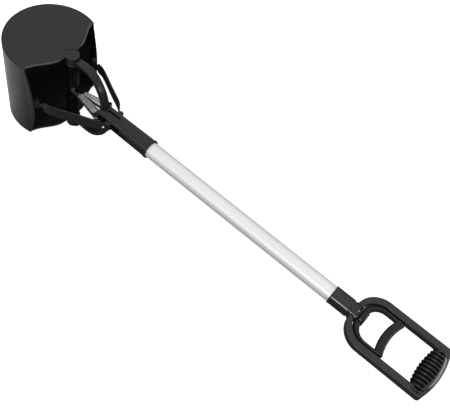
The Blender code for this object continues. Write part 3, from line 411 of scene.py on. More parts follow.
def jaw_wall(side):
    """Jaw wall: the wall line at each height, widened to a section with round ends.

    Rows are heights. The half thickness h shrinks along a quarter circle at the rims. A row
    runs along line + h normal and back along line - h normal, with half circles at the ends.
    """
    rim = JAW_WALL / 2
    t = np.linspace(0, np.pi / 2, 4)
    low_edge = -HALF_DRUM + rim * (1 - np.cos(t))
    middle = np.linspace(-HALF_DRUM + rim, HALF_DRUM - rim, 34)[1:-1]
    heights = np.concatenate([low_edge, middle, -low_edge[::-1]])
    half = np.concatenate([rim * np.sin(t), np.full(middle.size, rim), rim * np.sin(t)[::-1]])
    rows = []
    a = np.linspace(0, np.pi, 7)[1:-1, None]
    for height, h in zip(heights, np.maximum(half, rim * 0.25)):
        line, normal = wall_line(height)
        end = line[-1] + h * (np.cos(a) * normal[-1] + np.sin(a) * unit(line[-1] - line[-2]))
        start = line[0] + h * (-np.cos(a) * normal[0] + np.sin(a) * unit(line[0] - line[1]))
        loop = np.concatenate([line + h * normal, end, (line - h * normal)[::-1], start])
        rows.append(np.column_stack([mirrored(loop, side), np.full(len(loop), height)]))
    return np.array(rows), False


def back_edge(count, end=1.0):
    """The end plates' S-shaped back edge, a cubic Bezier from the corner towards the ear."""
    p0 = drum_arc(DRUM_RADIUS - JAW_WALL / 2, PARTING_HALF_GAP, 60)[-1]
    p3 = np.array([-BARREL_RADIUS / 3, EAR_RADIUS])
    reach = (p0[1] - p3[1]) * BACK_EDGE_SHARE
    p1 = p0 + np.array([BACK_EDGE_DIP, -reach])
    p2 = p3 + np.array([0.0, reach])
    t = np.linspace(0, end, count)[:, None]
    return p0 * (1 - t) ** 3 + p1 * 3 * t * (1 - t) ** 2 + p2 * 3 * t * t * (1 - t) + p3 * t ** 3


def end_plate_outline():
    """Plan of an end plate: the drum's arc, then the S-shaped back edge to the hinge ear."""
    return np.concatenate([drum_arc(DRUM_RADIUS - JAW_WALL / 2, PARTING_HALF_GAP, 60),
                           back_edge(20)[1:], [(-BARREL_RADIUS / 3, PARTING_HALF_GAP)]])


def notched_plate_outline():
    """The end plate's plan with a round notch that clears the other jaw's ear."""
    full = end_plate_outline()
    clear = EAR_RADIUS + 2 * GAP
    kept = full[np.linalg.norm(full, axis=1) > clear * 1.02]
    first = np.arctan2(kept[-1, 1], kept[-1, 0])
    a = np.linspace(first, np.pi - np.arcsin(PARTING_HALF_GAP / clear), 12)
    return np.concatenate([kept, arc(HINGE_AXIS, clear, a)])


def lip_bead(side, end):
    """Round bead along an end plate's back edge: a circle carried along the edge's line."""
    edge = mirrored(back_edge(40, LIP_END_SHARE)[1:] - (LIP_RADIUS / 2, 0), side)
    level = end * (HALF_DRUM - RIM_PROUD - LIP_RADIUS * LIP_SINK)
    return wire(np.column_stack([edge, np.full(len(edge), level)]), LIP_RADIUS, 12)


def wire(line, radius, sides=8):
    """Round wire: a circle carried along the line without twist, frame by frame."""
    along = direction(line)
    normal = unit(np.cross(along, (0.31, 0.17, 0.93)))
    binormal = np.cross(along, normal)
    a = circle(sides)[None, :, None]
    grid = line[:, None] + radius * (np.cos(a) * normal[:, None] + np.sin(a) * binormal[:, None])
    return grid, False


def mirrored(outline, side):
    return np.asarray(outline) * (1.0, side)


def span(sign, *levels):
    """Two levels above or below the middle, the lower one first."""
    return sorted(sign * level for level in levels)


def noise(tree, vector, scale, detail):
    return fill_inputs(tree, tree.nodes.new("ShaderNodeTexNoise"), {
        "Vector": vector, "Scale": scale, "Detail": detail})["Fac"]


def stretched(tree, place, scale, rotation=(0.0, 0.0, 0.0)):
    return fill_inputs(tree, tree.nodes.new("ShaderNodeMapping"), {
        "Vector": place, "Rotation": rotation, "Scale": scale})["Vector"]


def blended(tree, factor, dark, pale):
    """Colour that goes from dark to pale with the factor."""
    node = tree.nodes.new("ShaderNodeMix")
    node.data_type = "RGBA"
    return fill_inputs(tree, node, {
        "Factor": factor, "A": (*dark, 1.0), "B": (*pale, 1.0)})["Result"]


def bumped(tree, height, strength, distance):
    return fill_inputs(tree, tree.nodes.new("ShaderNodeBump"), {
        "Height": height, "Strength": strength, "Distance": distance})["Normal"]


def moulded_group():
    """Moulded plastic: fine grain, slow unevenness of gloss and pale scuffs in streaks."""
    group = bpy.data.node_groups.new("moulded_plastic_skin", "ShaderNodeTree")
    for name, value in (("Grain Scale", 2600.0), ("Gloss Low", 0.26), ("Gloss High", 0.38),
                        ("Scuff Amount", 0.3)):
        socket = group.interface.new_socket(name, in_out="INPUT", socket_type="NodeSocketFloat")
        socket.default_value = value
    for name in ("Grain", "Roughness", "Scuffs"):
        group.interface.new_socket(name, in_out="OUTPUT", socket_type="NodeSocketFloat")
    given = group.nodes.new("NodeGroupInput").outputs
    place = place_of(group)
    gloss = map_range(group, noise(group, place, 34.0, 4.0), (0.3, 0.7),
                      (given["Gloss Low"], given["Gloss High"]))
    streaks = noise(group, stretched(group, place, (420.0, 60.0, 260.0), (0.4, 0.7, 0.3)), 1.0, 6.0)
    scuffs = maths(group, "MULTIPLY", map_range(group, streaks, (0.60, 0.76), (0.0, 1.0)),
                   given["Scuff Amount"])
    fill_inputs(group, group.nodes.new("NodeGroupOutput"), {
        "Grain": noise(group, place, given["Grain Scale"], 2.0),
        "Roughness": maths(group, "MULTIPLY_ADD", scuffs, 0.35, gloss), "Scuffs": scuffs})
    return group


moulded_skin = moulded_group()


def moulded_plastic(name, dark, pale, shine, gloss, grain_scale, grain_depth, scuffs):
    """Black moulded plastic whose gloss, grain and scuffs come from the shared skin."""
    material = bpy.data.materials.new(name)
    material.use_nodes = True
    tree = material.node_tree
    node = tree.nodes.new("ShaderNodeGroup")
    node.node_tree = moulded_skin
    skin = fill_inputs(tree, node, {"Grain Scale": grain_scale, "Gloss Low": gloss[0],
                                    "Gloss High": gloss[1], "Scuff Amount": scuffs})
    fill_inputs(tree, tree.nodes["Principled BSDF"], {
        "Base Color": blended(tree, skin["Scuffs"], dark, pale), "Roughness": skin["Roughness"],
        "Specular IOR Level": shine, "Normal": bumped(tree, skin["Grain"], 0.5, grain_depth)})
    return material


def jaw_shells(side, outer_end, inner_level):
    """All shells of one jaw. outer_end says at which end its outer ear is."""
    shells = [jaw_wall(side)]
    top = HALF_DRUM - RIM_PROUD
    for end in (-1, 1):
        outline = end_plate_outline() if end == outer_end else notched_plate_outline()
        low, high = span(end, top, top - PLATE_THICK)
        shells.append(plate(mirrored(outline, side), low, high, PLATE_EDGE))
    low, high = span(outer_end, HALF_DRUM, HALF_DRUM - EAR_THICK)
    shells.append(disc(HINGE_AXIS, EAR_RADIUS, low, high, EAR_ROUNDING))
    low, high = span(-outer_end, inner_level, inner_level - EAR_THICK)
    pad = two_circle_hull(HINGE_AXIS, EAR_RADIUS, PAD_PLACE, PAD_RADIUS)
    shells.append(plate(mirrored(pad, side), low, high, PAD_ROUNDING))
    low, high = span(-outer_end, inner_level - EAR_THICK / 2, top - PLATE_THICK / 2)
    shells.append(disc(mirrored(TIE_PLACE, side), TIE_RADIUS, low, high))
    nose = arc((LUG_X, LUG_Y), LUG_RADIUS, np.linspace(np.pi, 2 * np.pi, 18))
    root = [(WALL_TIP[0] - LUG_ROOT_INSET, WALL_TIP[1]), (LUG_X - LUG_RADIUS, WALL_TIP[1])]
    cheek = mirrored(np.concatenate([nose, root]), side)
    for end in (-1, 1):
        low, high = span(end, EYE_CLEAR, EYE_CLEAR + LUG_CHEEK_THICK)
        shells.append(plate(cheek, low, high))
    return shells


jaw_plastic = moulded_plastic("jaw_gloss_black", (0.017, 0.017, 0.018), (0.042, 0.042, 0.044),
                              0.34, (0.25, 0.31), 1800.0, 0.00001, 0.05)
# The hinge barrels get a darker, less shiny copy of the jaw plastic: painted shade on the barrels
# in the recess between the jaws' plates.
barrel_shaded_plastic = moulded_plastic("jaw_barrel_painted_shade", (0.004, 0.004, 0.004), (0.012, 0.012, 0.012),
                                 0.16, (0.16, 0.22), 1800.0, 0.00001, 0.03)
# The lips' pale grey colour and pale streaks are a painted highlight along the end plates' back
# edge.
lip_painted_highlight = moulded_plastic("jaw_lip_painted_highlight", (0.070, 0.070, 0.070), (0.20, 0.20, 0.20),
                              0.60, (0.14, 0.20), 1800.0, 0.00001, 0.30)
left_inner = HALF_DRUM - EAR_THICK - GAP
right_inner = left_inner - FORK_EAR_THICK - GAP
jaws = (("left", -1, left_inner), ("right", 1, right_inner))
for label, side, inner_level in jaws:
    closed_piece(f"{label}_jaw_shell", jaw_shells(side, -side, inner_level), jaw_plastic,
                 f"{label}_jaw_body", f"{label}_jaw", slot="black_gloss_plastic")
for label, side, inner_level in jaws:
    low, high = span(side, BARREL_START, inner_level - EAR_THICK / 2)
    hinge_barrel = disc(HINGE_AXIS, BARREL_RADIUS, low, high, BARREL_ROUNDING)
    closed_piece(f"{label}_jaw_barrel", [hinge_barrel], barrel_shaded_plastic, f"{label}_jaw_body",
                 slot="black_gloss_plastic")
    closed_piece(f"{label}_jaw_lips", [lip_bead(side, 1), lip_bead(side, -1)], lip_painted_highlight,
                 f"{label}_jaw_body", slot="black_gloss_plastic")


# Neck: one satin black moulding. Its socket takes the tube, two windows let the pull arms in,
# a slot on top guides the slider, and two bowed arms reach over and under to the hinge rod.
NECK_FRONT_X = 0.064
NECK_END_X = 0.164
NECK_FRONT_RADIUS = 0.0138
NECK_END_RADIUS = 0.0148
NECK_LIP_RADIUS = 0.0154
NECK_LIP_START_X = 0.159
NECK_BORE = 0.0105
SOCKET_FLOOR_X = 0.129
TUBE_RADIUS = 0.0127
WINDOW_HALF = 0.0074
WINDOW_END_X = 0.126
STRIP_EDGE = 0.0006
STRIP_OVERLAP = 0.001
SLOT_HALF = 0.0017
SLOT_END_X = 0.100
FORK_WIDTH = 0.013
FORK_BAND = 0.0075
FORK_ROUNDING = 0.0016
FORK_TOP = 0.0722
FORK_FOOT_RISE = 0.0008
UPPER_FORK_X = (0.020, 0.029, 0.0725)
LOWER_FORK_X = (0.019, 0.031, 0.083)
LOWER_EAR_END = 0.0838
NECK_EAR_ROUNDING = 0.0017
BOW_SHARES = np.array([(0.0, 0.0), (0.15, 0.010), (0.30, 0.045), (0.41, 0.098), (0.52, 0.17),
                       (0.62, 0.257), (0.72, 0.36), (0.80, 0.462), (0.87, 0.58), (0.92, 0.69),
                       (0.96, 0.80), (0.985, 0.90), (1.0, 1.0)])


def neck_radius(x):
    return NECK_FRONT_RADIUS + (NECK_END_RADIUS - NECK_FRONT_RADIUS) * (x - NECK_FRONT_X) / (
        NECK_END_X - NECK_FRONT_X)


def shell_strip(x_start, x_end, low_edge, high_edge, up):
    """Stretch of the neck's shell between two flat cuts, carried along the tube.

    A section goes along the outer arc from one cut to the other and back along the bore. It is
    cut at y = low_edge and y = high_edge, or at the window's edge, and lies above (up = 1) or
    below the tube's axis.
    """
    e = STRIP_EDGE
    x = np.concatenate([[x_start, x_start + e, x_start + 1.6 * e],
                        np.linspace(x_start + e, x_end - e, 5)[1:-1],
                        [x_end - 1.6 * e, x_end - e, x_end]])
    rows = []
    for place, inset in zip(x, [e] + [0.0] * (len(x) - 2) + [e]):
        loop = []
        for radius, flip in ((neck_radius(place) - inset, 1), (NECK_BORE + inset, -1)):
            window = np.arcsin((WINDOW_HALF + inset) / radius)
            first = window if high_edge is None else np.arccos(high_edge / radius)
            last = np.pi - window if low_edge is None else np.arccos(low_edge / radius)
            loop.append(arc(HINGE_AXIS, radius, np.linspace(first, last, 20)[::flip]))
        loop = mirrored(np.concatenate(loop), up)
        rows.append(np.column_stack([np.full(len(loop), place), loop]))
    return np.array(rows), False


def socket_ring():
    """Rear of the neck: the closed section (radius, x) turned about the tube's axis."""
    e = 0.0007
    bore = TUBE_RADIUS + GAP / 2
    lip = NECK_LIP_RADIUS
    front = WINDOW_END_X - STRIP_OVERLAP
    wall = [(neck_radius(x), x) for x in (WINDOW_END_X, 0.1265, 0.1582, NECK_LIP_START_X)]
    section = np.array([
        (NECK_BORE, front), (neck_radius(WINDOW_END_X) - e, front), *wall,
        (lip - e, 0.1594), (lip, 0.1600), (lip, 0.1632), (lip - e / 3, 0.1638),
        (lip - e, NECK_END_X), (bore, NECK_END_X), (bore, SOCKET_FLOOR_X),
        (NECK_BORE, SOCKET_FLOOR_X)])
    return turned(section, circle(96)), True


def rounded_rectangle(width, height, radius, steps=5):
    """Closed outline of a rectangle with round corners, as (across, up) points."""
    corner = arc((0.0, 0.0), radius, np.linspace(0, np.pi / 2, steps))
    w = width / 2 - radius
    h = height / 2 - radius
    turned_corner = left_of(corner)
    return np.concatenate([corner + (w, h), turned_corner + (-w, h), -corner + (-w, -h),
                           -turned_corner + (w, -h)])


def smooth_line(points, count):
    """A line of count points through the given ones, by Catmull-Rom curves between them."""
    padded = np.concatenate([2 * points[:1] - points[1:2], points, 2 * points[-1:] - points[-2:-1]])
    u = np.linspace(0, len(points) - 1, count)
    i = np.minimum(u.astype(int), len(points) - 2)
    t = (u - i)[:, None]
    p0, p1, p2, p3 = padded[i], padded[i + 1], padded[i + 2], padded[i + 3]
    return 0.5 * (2 * p1 + (p2 - p0) * t + (2 * p0 - 5 * p1 + 4 * p2 - p3) * t ** 2
                  + (3 * p1 - p0 - 3 * p2 + p3) * t ** 3)


def bow_line(places, ear_level):
    """Middle line of a fork arm in the X-Z plane, from the hinge ear to the neck.

    The outer line follows the bow's shares of run and drop, and the middle line lies half a
    band inside it. The places are the X where the lead ends, the bow starts and the arm ends.
    """
    start_x, bow_x, root_x = places
    drop = FORK_TOP - NECK_BORE - FORK_FOOT_RISE
    outer = np.stack([bow_x + (root_x - bow_x) * BOW_SHARES[:, 0],
                      FORK_TOP - drop * BOW_SHARES[:, 1]], -1)
    middle = outer - left_of(direction(outer)) * FORK_BAND / 2
    crest = FORK_TOP - FORK_BAND / 2
    lead = np.array([(0.004, ear_level), (0.009, ear_level),
                     (0.014, ear_level * 0.35 + crest * 0.65), (start_x, crest - 0.0006)])
    return smooth_line(np.concatenate([lead, middle]), 46)


def fork_arm(places, ear_level, up):
    """Fork arm: a rounded rectangle carried along the bow's middle line."""
    line = bow_line(places, ear_level)
    section = rounded_rectangle(FORK_WIDTH, FORK_BAND, FORK_ROUNDING)
    bow = line[:, None] + section[:, 1:] * left_of(direction(line))[:, None]
    return grid_of(bow[..., 0], section[:, 0], up * bow[..., 1]), False


neck_plastic = moulded_plastic("neck_satin_black", (0.015, 0.015, 0.016), (0.045, 0.045, 0.047),
                               0.34, (0.24, 0.32), 2200.0, 0.00001, 0.06)
upper_low = left_inner - FORK_EAR_THICK
lower_top = HALF_DRUM + GAP
ear_bore = ROD_RADIUS + GAP / 2
neck_shells = [
    socket_ring(),
    shell_strip(SLOT_END_X - STRIP_OVERLAP, WINDOW_END_X, None, None, 1),
    shell_strip(NECK_FRONT_X, SLOT_END_X, SLOT_HALF, None, 1),
    shell_strip(NECK_FRONT_X, SLOT_END_X, None, -SLOT_HALF, 1),
    shell_strip(NECK_FRONT_X, WINDOW_END_X, None, None, -1),
    fork_arm(UPPER_FORK_X, (left_inner + upper_low) / 2, 1),
    fork_arm(LOWER_FORK_X, (lower_top + LOWER_EAR_END) / 2, -1),
    ring_tube(HINGE_AXIS, EAR_RADIUS, ear_bore, upper_low, left_inner, NECK_EAR_ROUNDING),
    ring_tube(HINGE_AXIS, EAR_RADIUS, ear_bore, -LOWER_EAR_END, -lower_top, NECK_EAR_ROUNDING),
]
closed_piece("neck_moulding", neck_shells, neck_plastic, "frame", "neck",
             slot="black_satin_plastic")


# Slider: a small satin black moulding in the neck, with two plates whose wings hold the spring
# pins and whose ears hold the arm pins, and a spine that takes the pull rod.
WING_X = 0.064
WING_Y = 0.015
WING_RADIUS = 0.0035
ARM_EAR_X = 0.088
ARM_EAR_Y = 0.011
ARM_EAR_RADIUS = 0.005
ARM_EAR_SLOT = 0.0018
SLIDE_PLATE_THICK = 0.0025
# Width, height and corner radius of the two bars, how high they sit, their ends and rounding.
SLIDE_SPINE = ((0.011, 0.0166, 0.0012), 0.0, (0.0625, 0.0985), 0.0006)
SLIDE_KEY = ((0.0026, 0.013, 0.0005), 0.0065, (0.0633, 0.0753), 0.0004)

slider_shells = []
for sign in (-1, 1):
    low, high = span(sign, EYE_CLEAR, EYE_CLEAR + SLIDE_PLATE_THICK)
    for x, y, radius in ((WING_X, WING_Y, WING_RADIUS),
                         (ARM_EAR_X, ARM_EAR_Y + ARM_EAR_SLOT, ARM_EAR_RADIUS)):
        slider_shells.append(plate(two_circle_hull((x, -y), radius, (x, y), radius), low, high))
for size, rise, ends, rounding in (SLIDE_SPINE, SLIDE_KEY):
    bar = rounded_rectangle(*size) + (0, rise)
    slider_shells.append(plate(bar, *ends, rounding, along_x=True))
closed_piece("slider_moulding", slider_shells, neck_plastic, "trigger_train", "slider",
             slot="black_satin_plastic")


# Pull arms: thin tall straps moulded in black plastic. Each bends round from its jaw's lug to
# the slider and narrows to a round eye at both ends.
ARM_THICK = 0.0021
ARM_ROUNDING = 0.0006
ARM_HALF_HEIGHT = 0.0105
ARM_BEND_RADIUS = 0.007
ARM_EYE_RADIUS = 0.0045
ARM_EYE_BORE = 0.0022
STEP_FROM_LUG = (0.0100, 0.0140)
STEP_FROM_EAR = (0.0085, 0.0145)
SIDES = (("left", -1), ("right", 1))
ARM_POINTS = np.array([(LUG_X, LUG_Y), (-0.004, 0.0578), (0.008, 0.0565), (0.022, 0.0503),
                       (0.045, 0.0388), (0.0695, 0.0277), (0.0765, 0.0232), (0.085, 0.0132),
                       (ARM_EAR_X, ARM_EAR_Y)])


def bent_line(points, radius):
    """The points' line with each corner rounded by a quadratic arc of about that radius."""
    path = [points[0]]
    t = np.linspace(0, 1, 8)[:, None]
    for before, corner, after in zip(points, points[1:], points[2:]):
        back = before - corner
        ahead = after - corner
        reach = min(radius, np.linalg.norm(back) / 2, np.linalg.norm(ahead) / 2)
        first = corner + unit(back) * reach
        last = corner + unit(ahead) * reach
        path.extend(first * (1 - t) ** 2 + corner * 2 * t * (1 - t) + last * t ** 2)
    path.append(points[-1])
    return np.array(path)


def run_along(line):
    """Distance from the line's start to each of its points."""
    return np.concatenate([[0], np.cumsum(np.linalg.norm(np.diff(line, axis=0), axis=1))])


def even_line(points, count):
    """The same line with its points evenly spaced."""
    run = run_along(points)
    s = np.linspace(0, run[-1], count)
    return np.stack([np.interp(s, run, points[:, k]) for k in range(points.shape[1])], -1)


def strap(side):
    """Pull arm's strap: a rounded section carried along the bent line.

    The half height grows from the eye's to the strap's own by a smooth step at both ends.
    """
    line = even_line(bent_line(ARM_POINTS, ARM_BEND_RADIUS), 90)
    run = run_along(line)
    step = np.minimum(np.interp(run, STEP_FROM_LUG, (0, 1)),
                      np.interp(run[-1] - run, STEP_FROM_EAR, (0, 1)))
    step = step * step * (3 - 2 * step)
    half = EYE_HALF_THICK + (ARM_HALF_HEIGHT - EYE_HALF_THICK) * step
    section = rounded_rectangle(ARM_THICK, 2.0, ARM_ROUNDING, 4)
    plan = line[:, None] + section[:, :1] * left_of(direction(line))[:, None]
    z = np.sign(section[:, 1]) * (half[:, None] + np.abs(section[:, 1]) - 1.0)
    return grid_of(plan[..., 0], side * plan[..., 1], z), False


arm_plastic = moulded_plastic("arm_satin_black", (0.020, 0.020, 0.021), (0.055, 0.055, 0.057),
                              0.30, (0.32, 0.42), 2400.0, 0.00002, 0.08)
for label, side in SIDES:
    eyes = [ring_tube((x, side * y), ARM_EYE_RADIUS, ARM_EYE_BORE, -EYE_HALF_THICK, EYE_HALF_THICK)
            for x, y in ((LUG_X, LUG_Y), (ARM_EAR_X, ARM_EAR_Y))]
    closed_piece(f"{label}_arm_strap", [strap(side), *eyes], arm_plastic, f"{label}_arm_body",
                 f"{label}_pull_arm", slot="black_satin_plastic")


# Steel parts: zinc-plated rods, pins, nut and screws. They keep their CAD shapes and get a
# plated finish with fine turning marks and a faint uneven bloom.
def drawn_metal(name, metallic, dark, pale, cloud, mark_scale, mark_range, gloss, mark_strength):
    """Metal with fine marks of its own spacing along each axis and a slow cloud of colour."""
    material = bpy.data.materials.new(name)
    material.use_nodes = True
    tree = material.node_tree
    place = place_of(tree)
    marks = noise(tree, stretched(tree, place, mark_scale), 1.0, 3.0)
    fill_inputs(tree, tree.nodes["Principled BSDF"], {
        "Metallic": metallic, "Base Color": blended(tree, noise(tree, place, *cloud), dark, pale),
        "Roughness": map_range(tree, marks, mark_range, gloss),
        "Normal": bumped(tree, marks, mark_strength, 0.00001)})
    return material


zinc = drawn_metal("zinc_plated_steel", 1.0, (0.41, 0.41, 0.4264), (0.50, 0.50, 0.52), (90.0, 3.0),
                   (900.0, 300.0, 900.0), (0.25, 0.75), (0.24, 0.42), 0.4)
for node_name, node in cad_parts.items():
    if node_name.endswith(("_pin", "_screw", "_rod", "_cap", "_nut")) or "_screw_" in node_name:
        node.material_slots[0].material = zinc


# Springs: two extension springs wound from bright drawn wire. Each hooks round the hinge rod
# between the jaws' barrels and round its pin in the slider's wing, and stretches as it slides.
WIRE_RADIUS = 0.0008
COIL_RADIUS = 0.0043
COIL_END_RADIUS = 0.0071
COIL_SHIFT = 0.0040
SPRING_TURNS = 24
BODY_START = 0.0215
BODY_LENGTH = 0.0405
HOOK_HEIGHT = 0.0033
SPRING_PIN_RADIUS = 0.0018


def spring_line(side):
    """Middle line of the spring's wire: a hook, a helix and a hook, in the spring's own axes.

    The helix is (start + pitch t, r sin 2 pi t, r cos 2 pi t) for t in turns, and its radius r
    grows evenly towards the slider. The axis leans inwards by COIL_SHIFT, because the far hook
    sits at the coil's outer side.
    """
    start = np.array([0.0, 0.0, -side * HOOK_HEIGHT])
    end = np.array([WING_X, side * WING_Y, 0.0])
    length = np.linalg.norm(end - start)
    along = (end - start) / length
    across = unit(np.cross((0.0, 0.0, 1.0), along))
    lift = np.cross(along, across)
    hook = ROD_RADIUS + WIRE_RADIUS + GAP
    a = np.radians(np.arange(60, 301, 12))
    first = np.column_stack([arc((0.0, 0.0), hook, a), 0 * a])
    lead = np.array([((hook + BODY_START) / 2, -(hook + COIL_RADIUS) / 2, 0.0)])
    t = np.linspace(0, SPRING_TURNS, SPRING_TURNS * 20 + 1)
    share = t / SPRING_TURNS
    turns = 2 * np.pi * t - np.pi / 2
    radius = COIL_RADIUS + (COIL_END_RADIUS - COIL_RADIUS) * share
    coil = np.stack([BODY_START + BODY_LENGTH * share,
                     -side * COIL_SHIFT * share + radius * np.sin(turns),
                     radius * np.cos(turns)], -1)
    far_hook = SPRING_PIN_RADIUS + WIRE_RADIUS + GAP
    trail = np.array([((BODY_START + BODY_LENGTH + length) / 2,
                       -(far_hook + COIL_END_RADIUS) / 2, 0.0)])
    b = np.radians(np.arange(-110, 131, 12))
    last = np.column_stack([arc((length, 0.0), far_hook, b), 0 * b])
    local = np.concatenate([first, lead, coil, trail, last])
    return start + local @ np.array([along, across, lift]), start, end


spring_wire = drawn_metal("bright_spring_wire", 1.0, (0.5084, 0.5084, 0.5248), (0.62, 0.62, 0.64),
                          (90.0, 3.0), (500.0, 500.0, 500.0), (0.25, 0.75), (0.22, 0.34), 0.4)
for label, side in SIDES:
    line, spring_start, spring_end = spring_line(side)
    coil = closed_piece(f"{label}_spring_wire", [wire(line, WIRE_RADIUS)], spring_wire, None,
                        f"{label}_spring", slot="spring_steel")
    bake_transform(coil)


# Tube: drawn aluminium of one inch, satin anodised in silver. It goes into the neck at the
# front and into the handle's collar at the back.
TUBE_START_X = 0.130
TUBE_END_X = 0.532
TUBE_WALL = 0.0013
TUBE_EDGE = 0.0002


def tube_grid():
    """The wall's closed section (radius, x) turned about the tube's axis."""
    e = TUBE_EDGE
    inner = TUBE_RADIUS - TUBE_WALL
    section = np.array([(inner, TUBE_START_X), (TUBE_RADIUS - e, TUBE_START_X),
                        (TUBE_RADIUS, TUBE_START_X + e), (TUBE_RADIUS, TUBE_START_X + 3 * e),
                        (TUBE_RADIUS, TUBE_END_X - 3 * e), (TUBE_RADIUS, TUBE_END_X - e),
                        (TUBE_RADIUS - e, TUBE_END_X), (inner, TUBE_END_X)])
    return turned(section, circle(128)), True


anodised = drawn_metal("satin_silver_tube", 0.35, (0.84, 0.85, 0.86), (0.92, 0.92, 0.92),
                       (22.0, 4.0), (6.0, 1500.0, 1500.0), (0.3, 0.7), (0.42, 0.54), 0.25)
closed_piece("silver_tube", [tube_grid()], anodised, "frame", "shaft_tube",
             slot="satin_aluminium")


# Handle: a D frame and collar in gloss black, moulded as two half shells that four screws hold
# together from below. A fine seam runs round the rails where the halves meet.
COLLAR_START_X = 0.5055
COLLAR_RADIUS = 0.0138
COLLAR_LIP = 0.0005
HANDLE_FRONT_X = 0.541
HANDLE_END_X = 0.686
HANDLE_HALF_WIDTH = 0.0455
HANDLE_HALF_THICK = 0.006
HANDLE_ROUNDING = 0.0022
SEAM_HALF = 0.00015
RAIL_WIDTH = 0.0115
ARCH_RADIUS = 0.0355
ARCH_WALL = 0.0075
ARCH_INNER_RADIUS = 0.0290
END_CORNER_RADIUS = 0.005
END_BOW = 0.0065
END_BAR_X = 0.6630
BAR_CORNER_RADIUS = 0.008
FLANGE_HALF_LENGTH = 0.034
FLANGE_LEVEL_HALF = 0.026
FLANGE_SINK = 0.36
FLANGE_SECTION = np.array([(0.0086, 0.0), (0.0086, 0.0078), (0.0082, 0.0087), (0.0076, 0.0090),
                           (0.0068, 0.0088), (0.0046, 0.0078), (0.0024, 0.0066), (0.0014, 0.0058),
                           (0.0008, 0.0046), (0.0006, 0.0030), (0.0006, 0.0)])
# Points (height over the collar, place): the front lip in lips from the collar's start, the two
# grooves at their X, and the rear edge from the collar's end.
COLLAR_FRONT = np.array([(-0.5, 0.0), (0.0, 0.5), (0.8, 1.0), (1.0, 1.6), (1.0, 2.6), (0.8, 3.2),
                         (0.0, 4.2), (0.0, 5.2)])
COLLAR_GROOVES = np.array([(0.0, 0.5362), (0.0, 0.5368), (-0.0004, 0.5374), (-0.0015, 0.5378),
                           (-0.0015, 0.5388), (-0.0002, 0.5392), (0.0, 0.5398), (0.0, 0.5403),
                           (0.0, 0.5420), (0.0, 0.5425), (-0.0004, 0.5432), (-0.0020, 0.5436),
                           (-0.0020, 0.5446), (-0.0006, 0.5450), (-0.0004, 0.5456),
                           (-0.0004, 0.5461)])
COLLAR_REAR = np.array([(-0.0004, -0.0014), (-0.0004, -0.0009), (-0.0008, -0.0003),
                        (-0.0014, 0.0)])


def line_between(first, last, count):
    t = np.linspace(0, 1, count)[:, None]
    return np.array(first) * (1 - t) + np.array(last) * t


def both_sides(half):
    """Close an outline that is given on its +Y side from front to back."""
    return np.concatenate([half, half[-2:0:-1] * (1, -1)])


def arch(front, half, radius, count):
    """Start of an edge on the +Y side: flat front, then a quarter circle to the side."""
    y = half - radius
    return np.concatenate([line_between((front, 0), (front, y), 6)[:-1],
                           arc((front + radius, y), radius, np.linspace(np.pi, np.pi / 2, count))])


def frame_edge(front, half, radius, end, bow, corner):
    """One edge of the D: arch, straight rail, round corner and an end that bows out."""
    corner_x = end - bow - corner
    corner_y = half - corner
    share = np.linspace(1, 0, 12)[1:]
    return both_sides(np.concatenate([
        arch(front, half, radius, 24),
        line_between((front + radius, half), (corner_x, half), 16)[1:-1],
        arc((corner_x, corner_y), corner, np.linspace(np.pi / 2, 0, 14)),
        np.stack([end - bow * share ** 2, corner_y * share], -1)]))


def half_ring(outer, inner, half_thick, rounding, sign, split=SEAM_HALF):
    """One half of a flat ring between two edges, above or below the split plane.

    A section runs from the inner edge to the outer one, and its height follows a quarter
    circle of the rounding at both corners.
    """
    t = np.linspace(0, np.pi / 2, 6)
    flat = np.linspace(0, 1, 7)[1:-1]
    width = np.linalg.norm(outer - inner, axis=1)[:, None]
    r = np.minimum(rounding, width * 0.45)
    reach = np.concatenate([0 * width, r * (1 - np.cos(t)), r + (width - 2 * r) * flat,
                            width - r * (1 - np.cos(t[::-1])), width], 1)
    rise = half_thick - rounding
    height = np.concatenate([[split], rise + rounding * np.sin(t), np.full(flat.size, half_thick),
                             rise + rounding * np.sin(t[::-1]), [split]])
    plan = inner[:, None] + ((outer - inner) / width)[:, None] * reach[..., None]
    return grid_of(plan[..., 0], plan[..., 1], sign * height), True


def half_collar(sign):
    """Half of the collar: the closed section (radius, x) turned through half a circle."""
    bore = TUBE_RADIUS + GAP / 2
    back = HANDLE_FRONT_X + ARCH_WALL - 0.0002
    tube_stop = TUBE_END_X + 0.001
    section = np.concatenate([
        [(bore, COLLAR_START_X)],
        (COLLAR_RADIUS, COLLAR_START_X) + COLLAR_LIP * COLLAR_FRONT,
        (COLLAR_RADIUS, 0.0) + COLLAR_GROOVES, (COLLAR_RADIUS, back) + COLLAR_REAR,
        [(0.004, back), (0.004, tube_stop), (bore, tube_stop)]])
    open_angle = SEAM_HALF / COLLAR_RADIUS
    a = np.linspace(open_angle, np.pi - open_angle, 49)
    return turned(section, a) * (1.0, 1.0, sign), False


def half_flange(sign):
    """Half of the flange behind the grip, whose top slopes down to the bowed end wall.

    The section (distance from the end wall, height) is carried along the wall, and sinks with
    the square of the distance past its level stretch so that it runs out into the rails.
    """
    y = np.linspace(-FLANGE_HALF_LENGTH, FLANGE_HALF_LENGTH, 35)
    end = HANDLE_END_X - END_BOW * (y / (HANDLE_HALF_WIDTH - END_CORNER_RADIUS)) ** 2
    past = (np.abs(y) - FLANGE_LEVEL_HALF) / (FLANGE_HALF_LENGTH - FLANGE_LEVEL_HALF)
    sink = 1 - FLANGE_SINK * np.clip(past, 0, 1) ** 2
    x = end[:, None] - FLANGE_SECTION[None, :, 0]
    z = np.maximum(FLANGE_SECTION[None, :, 1] * sink[:, None], SEAM_HALF)
    return grid_of(x, y[:, None], sign * z), False


